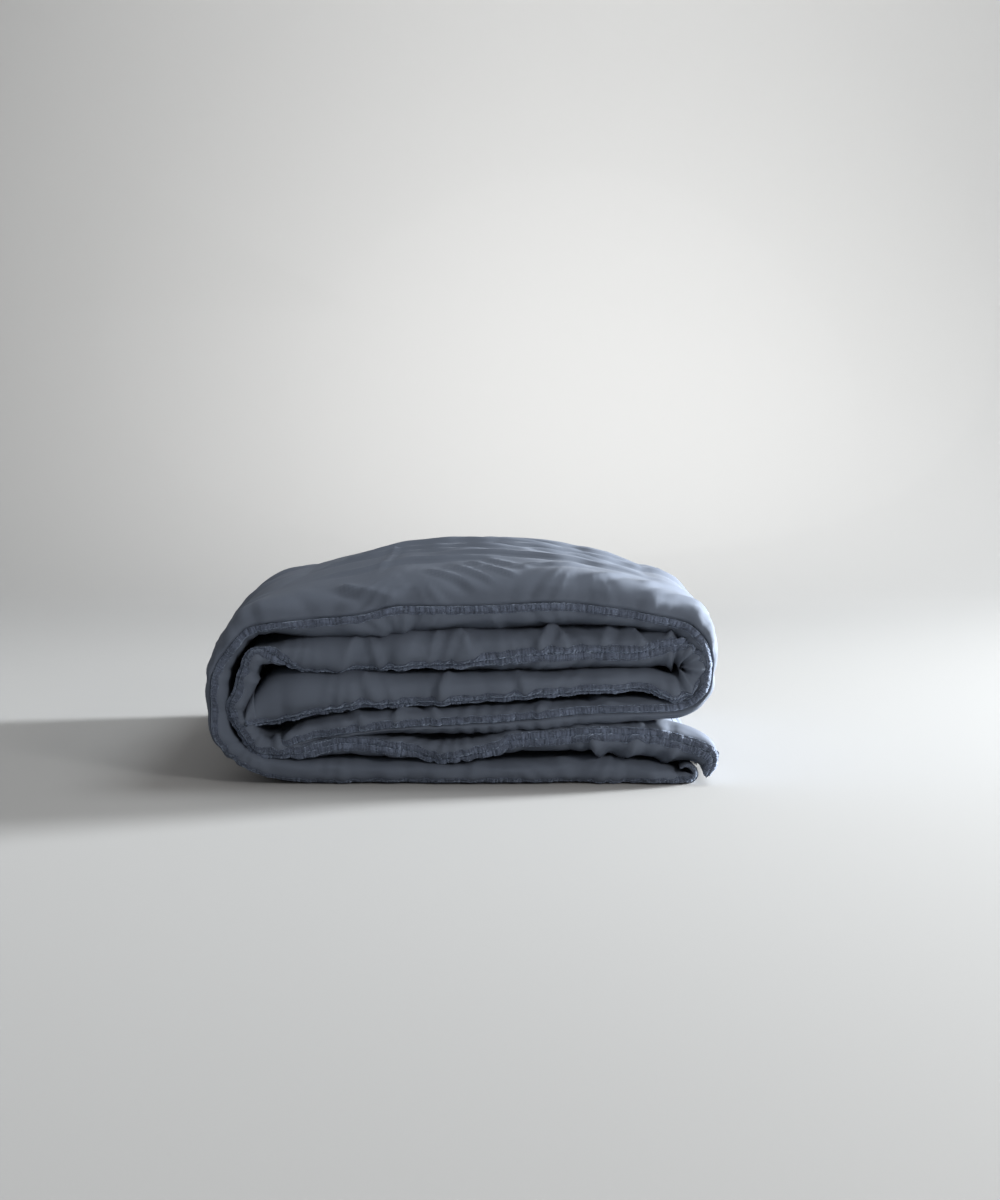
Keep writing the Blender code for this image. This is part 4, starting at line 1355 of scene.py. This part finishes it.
class DUVET_OT_stage(bpy.types.Operator):
    """A pale seamless floor and wall, soft light from the upper right, and the camera"""

    bl_idname = "duvet.stage"
    bl_label = "Stage"

    def execute(self, context):
        make_backdrop((0.43, 0.426, 0.420))
        area_light("key", (6.4, 2.2, 0.85), (0.1, -0.4, 0.25), 1.6, 580, (0.93, 0.97, 1.0), 84)
        area_light("overhead", (1.8, 0.6, 3.1), (0.15, 0.0, 0.0), 1.8, 62, (0.93, 0.975, 1.0))
        wall_light("wall_glow", (0.20, 3.6, 1.10), 78, 280)
        wall_light("low_glow", (0.24, 3.2, 0.45), 40, 190)
        area_light("fill", (2.2, -2.8, 1.6), (0, 0, 0.1), 0.9, 35, (1.0, 0.99, 0.97))
        world = context.scene.world or bpy.data.worlds.new("world")
        context.scene.world = world
        world.use_nodes = True
        sky = world.node_tree.nodes["Background"].inputs
        sky["Color"].default_value, sky["Strength"].default_value = (1.0, 0.995, 0.99, 1), 0.33
        context.scene.view_settings.view_transform = "Standard"
        make_camera()
        return {"FINISHED"}


# Add-on


def share(name, description, high, default):
    numbers = {"min": 0, "max": high, "default": default}
    return bpy.props.FloatProperty(name=name, description=description, subtype="FACTOR", **numbers)


def length(name, description, low, high, default):
    numbers = {"min": low, "max": high, "default": default}
    return bpy.props.FloatProperty(name=name, description=description, unit="LENGTH", **numbers)


def colour(name, description, default):
    settings = {"subtype": "COLOR", "size": 3, "min": 0, "max": 1, "default": default}
    return bpy.props.FloatVectorProperty(name=name, description=description, **settings)


class DuvetSizes(bpy.types.PropertyGroup):
    fold_height: share("Fold height", "Height of the folds and gathers, against their usual height", 2, 1.0)
    spare_cloth: share("Spare cloth", "Extra cloth that wrinkles as the cover settles", 0.08, 0.03)
    pucker_length: length("Pucker length", "Distance between two puckers of a side hem", 0.002, 0.02, 0.0046)
    pucker_height: length("Pucker height", "How far a side hem's puckers stand up", 0, 0.004, 0.0020)
    stitch_pitch: length("Stitch pitch", "Distance from one hem stitch to the next", 0.002, 0.01, 0.0031)
    button_radius: length("Button radius", "Radius of the buttons at the foot opening", 0.005, 0.012, 0.0075)
    piping_radius: length("Piping radius", "Radius of the insert's piped edge", 0.001, 0.004, 0.0017)


class DuvetColours(bpy.types.PropertyGroup):
    hems: colour("Hems", "Colour of the side hems. The panels keep the frame's", (0.087, 0.104, 0.146))
    thread: colour("Thread", "Colour of the hems' stitching", (0.120, 0.140, 0.185))
    ticking: colour("Insert case", "Colour of the insert's case, piping and tapes", (0.80, 0.79, 0.76))
    filling: colour("Filling", "Colour of the down and feather", (0.88, 0.87, 0.84))


class DUVET_PT_panel(bpy.types.Panel):
    """Lists the duvet's sizes and colours, and a button for each of its pieces"""

    bl_idname = "DUVET_PT_panel"
    bl_label = "Folded duvet"
    bl_space_type = "VIEW_3D"
    bl_region_type = "UI"
    bl_category = "Duvet"

    def draw(self, context):
        for group in (context.scene.duvet_sizes, context.scene.duvet_colours):
            for key in type(group).__annotations__:
                self.layout.prop(group, key)
        for operator in OPERATORS:
            self.layout.operator(operator.bl_idname)


OPERATORS = (
    DUVET_OT_side_hems,
    DUVET_OT_hem_stitches,
    DUVET_OT_cover_ends,
    DUVET_OT_buttons,
    DUVET_OT_cover_outer,
    DUVET_OT_cover_inner,
    DUVET_OT_ticking,
    DUVET_OT_filling,
    DUVET_OT_stage,
)
CLASSES = (DuvetSizes, DuvetColours, *OPERATORS, DUVET_PT_panel)


def register():
    for made in CLASSES:
        bpy.utils.register_class(made)
    bpy.types.Scene.duvet_sizes = bpy.props.PointerProperty(type=DuvetSizes)
    bpy.types.Scene.duvet_colours = bpy.props.PointerProperty(type=DuvetColours)


def unregister():
    del bpy.types.Scene.duvet_colours
    del bpy.types.Scene.duvet_sizes
    for made in reversed(CLASSES):
        bpy.utils.unregister_class(made)


def main():
    register()
    for operator in OPERATORS:
        family, name = operator.bl_idname.split(".")
        getattr(getattr(bpy.ops, family), name)()


if __name__ == "__main__":
    main()
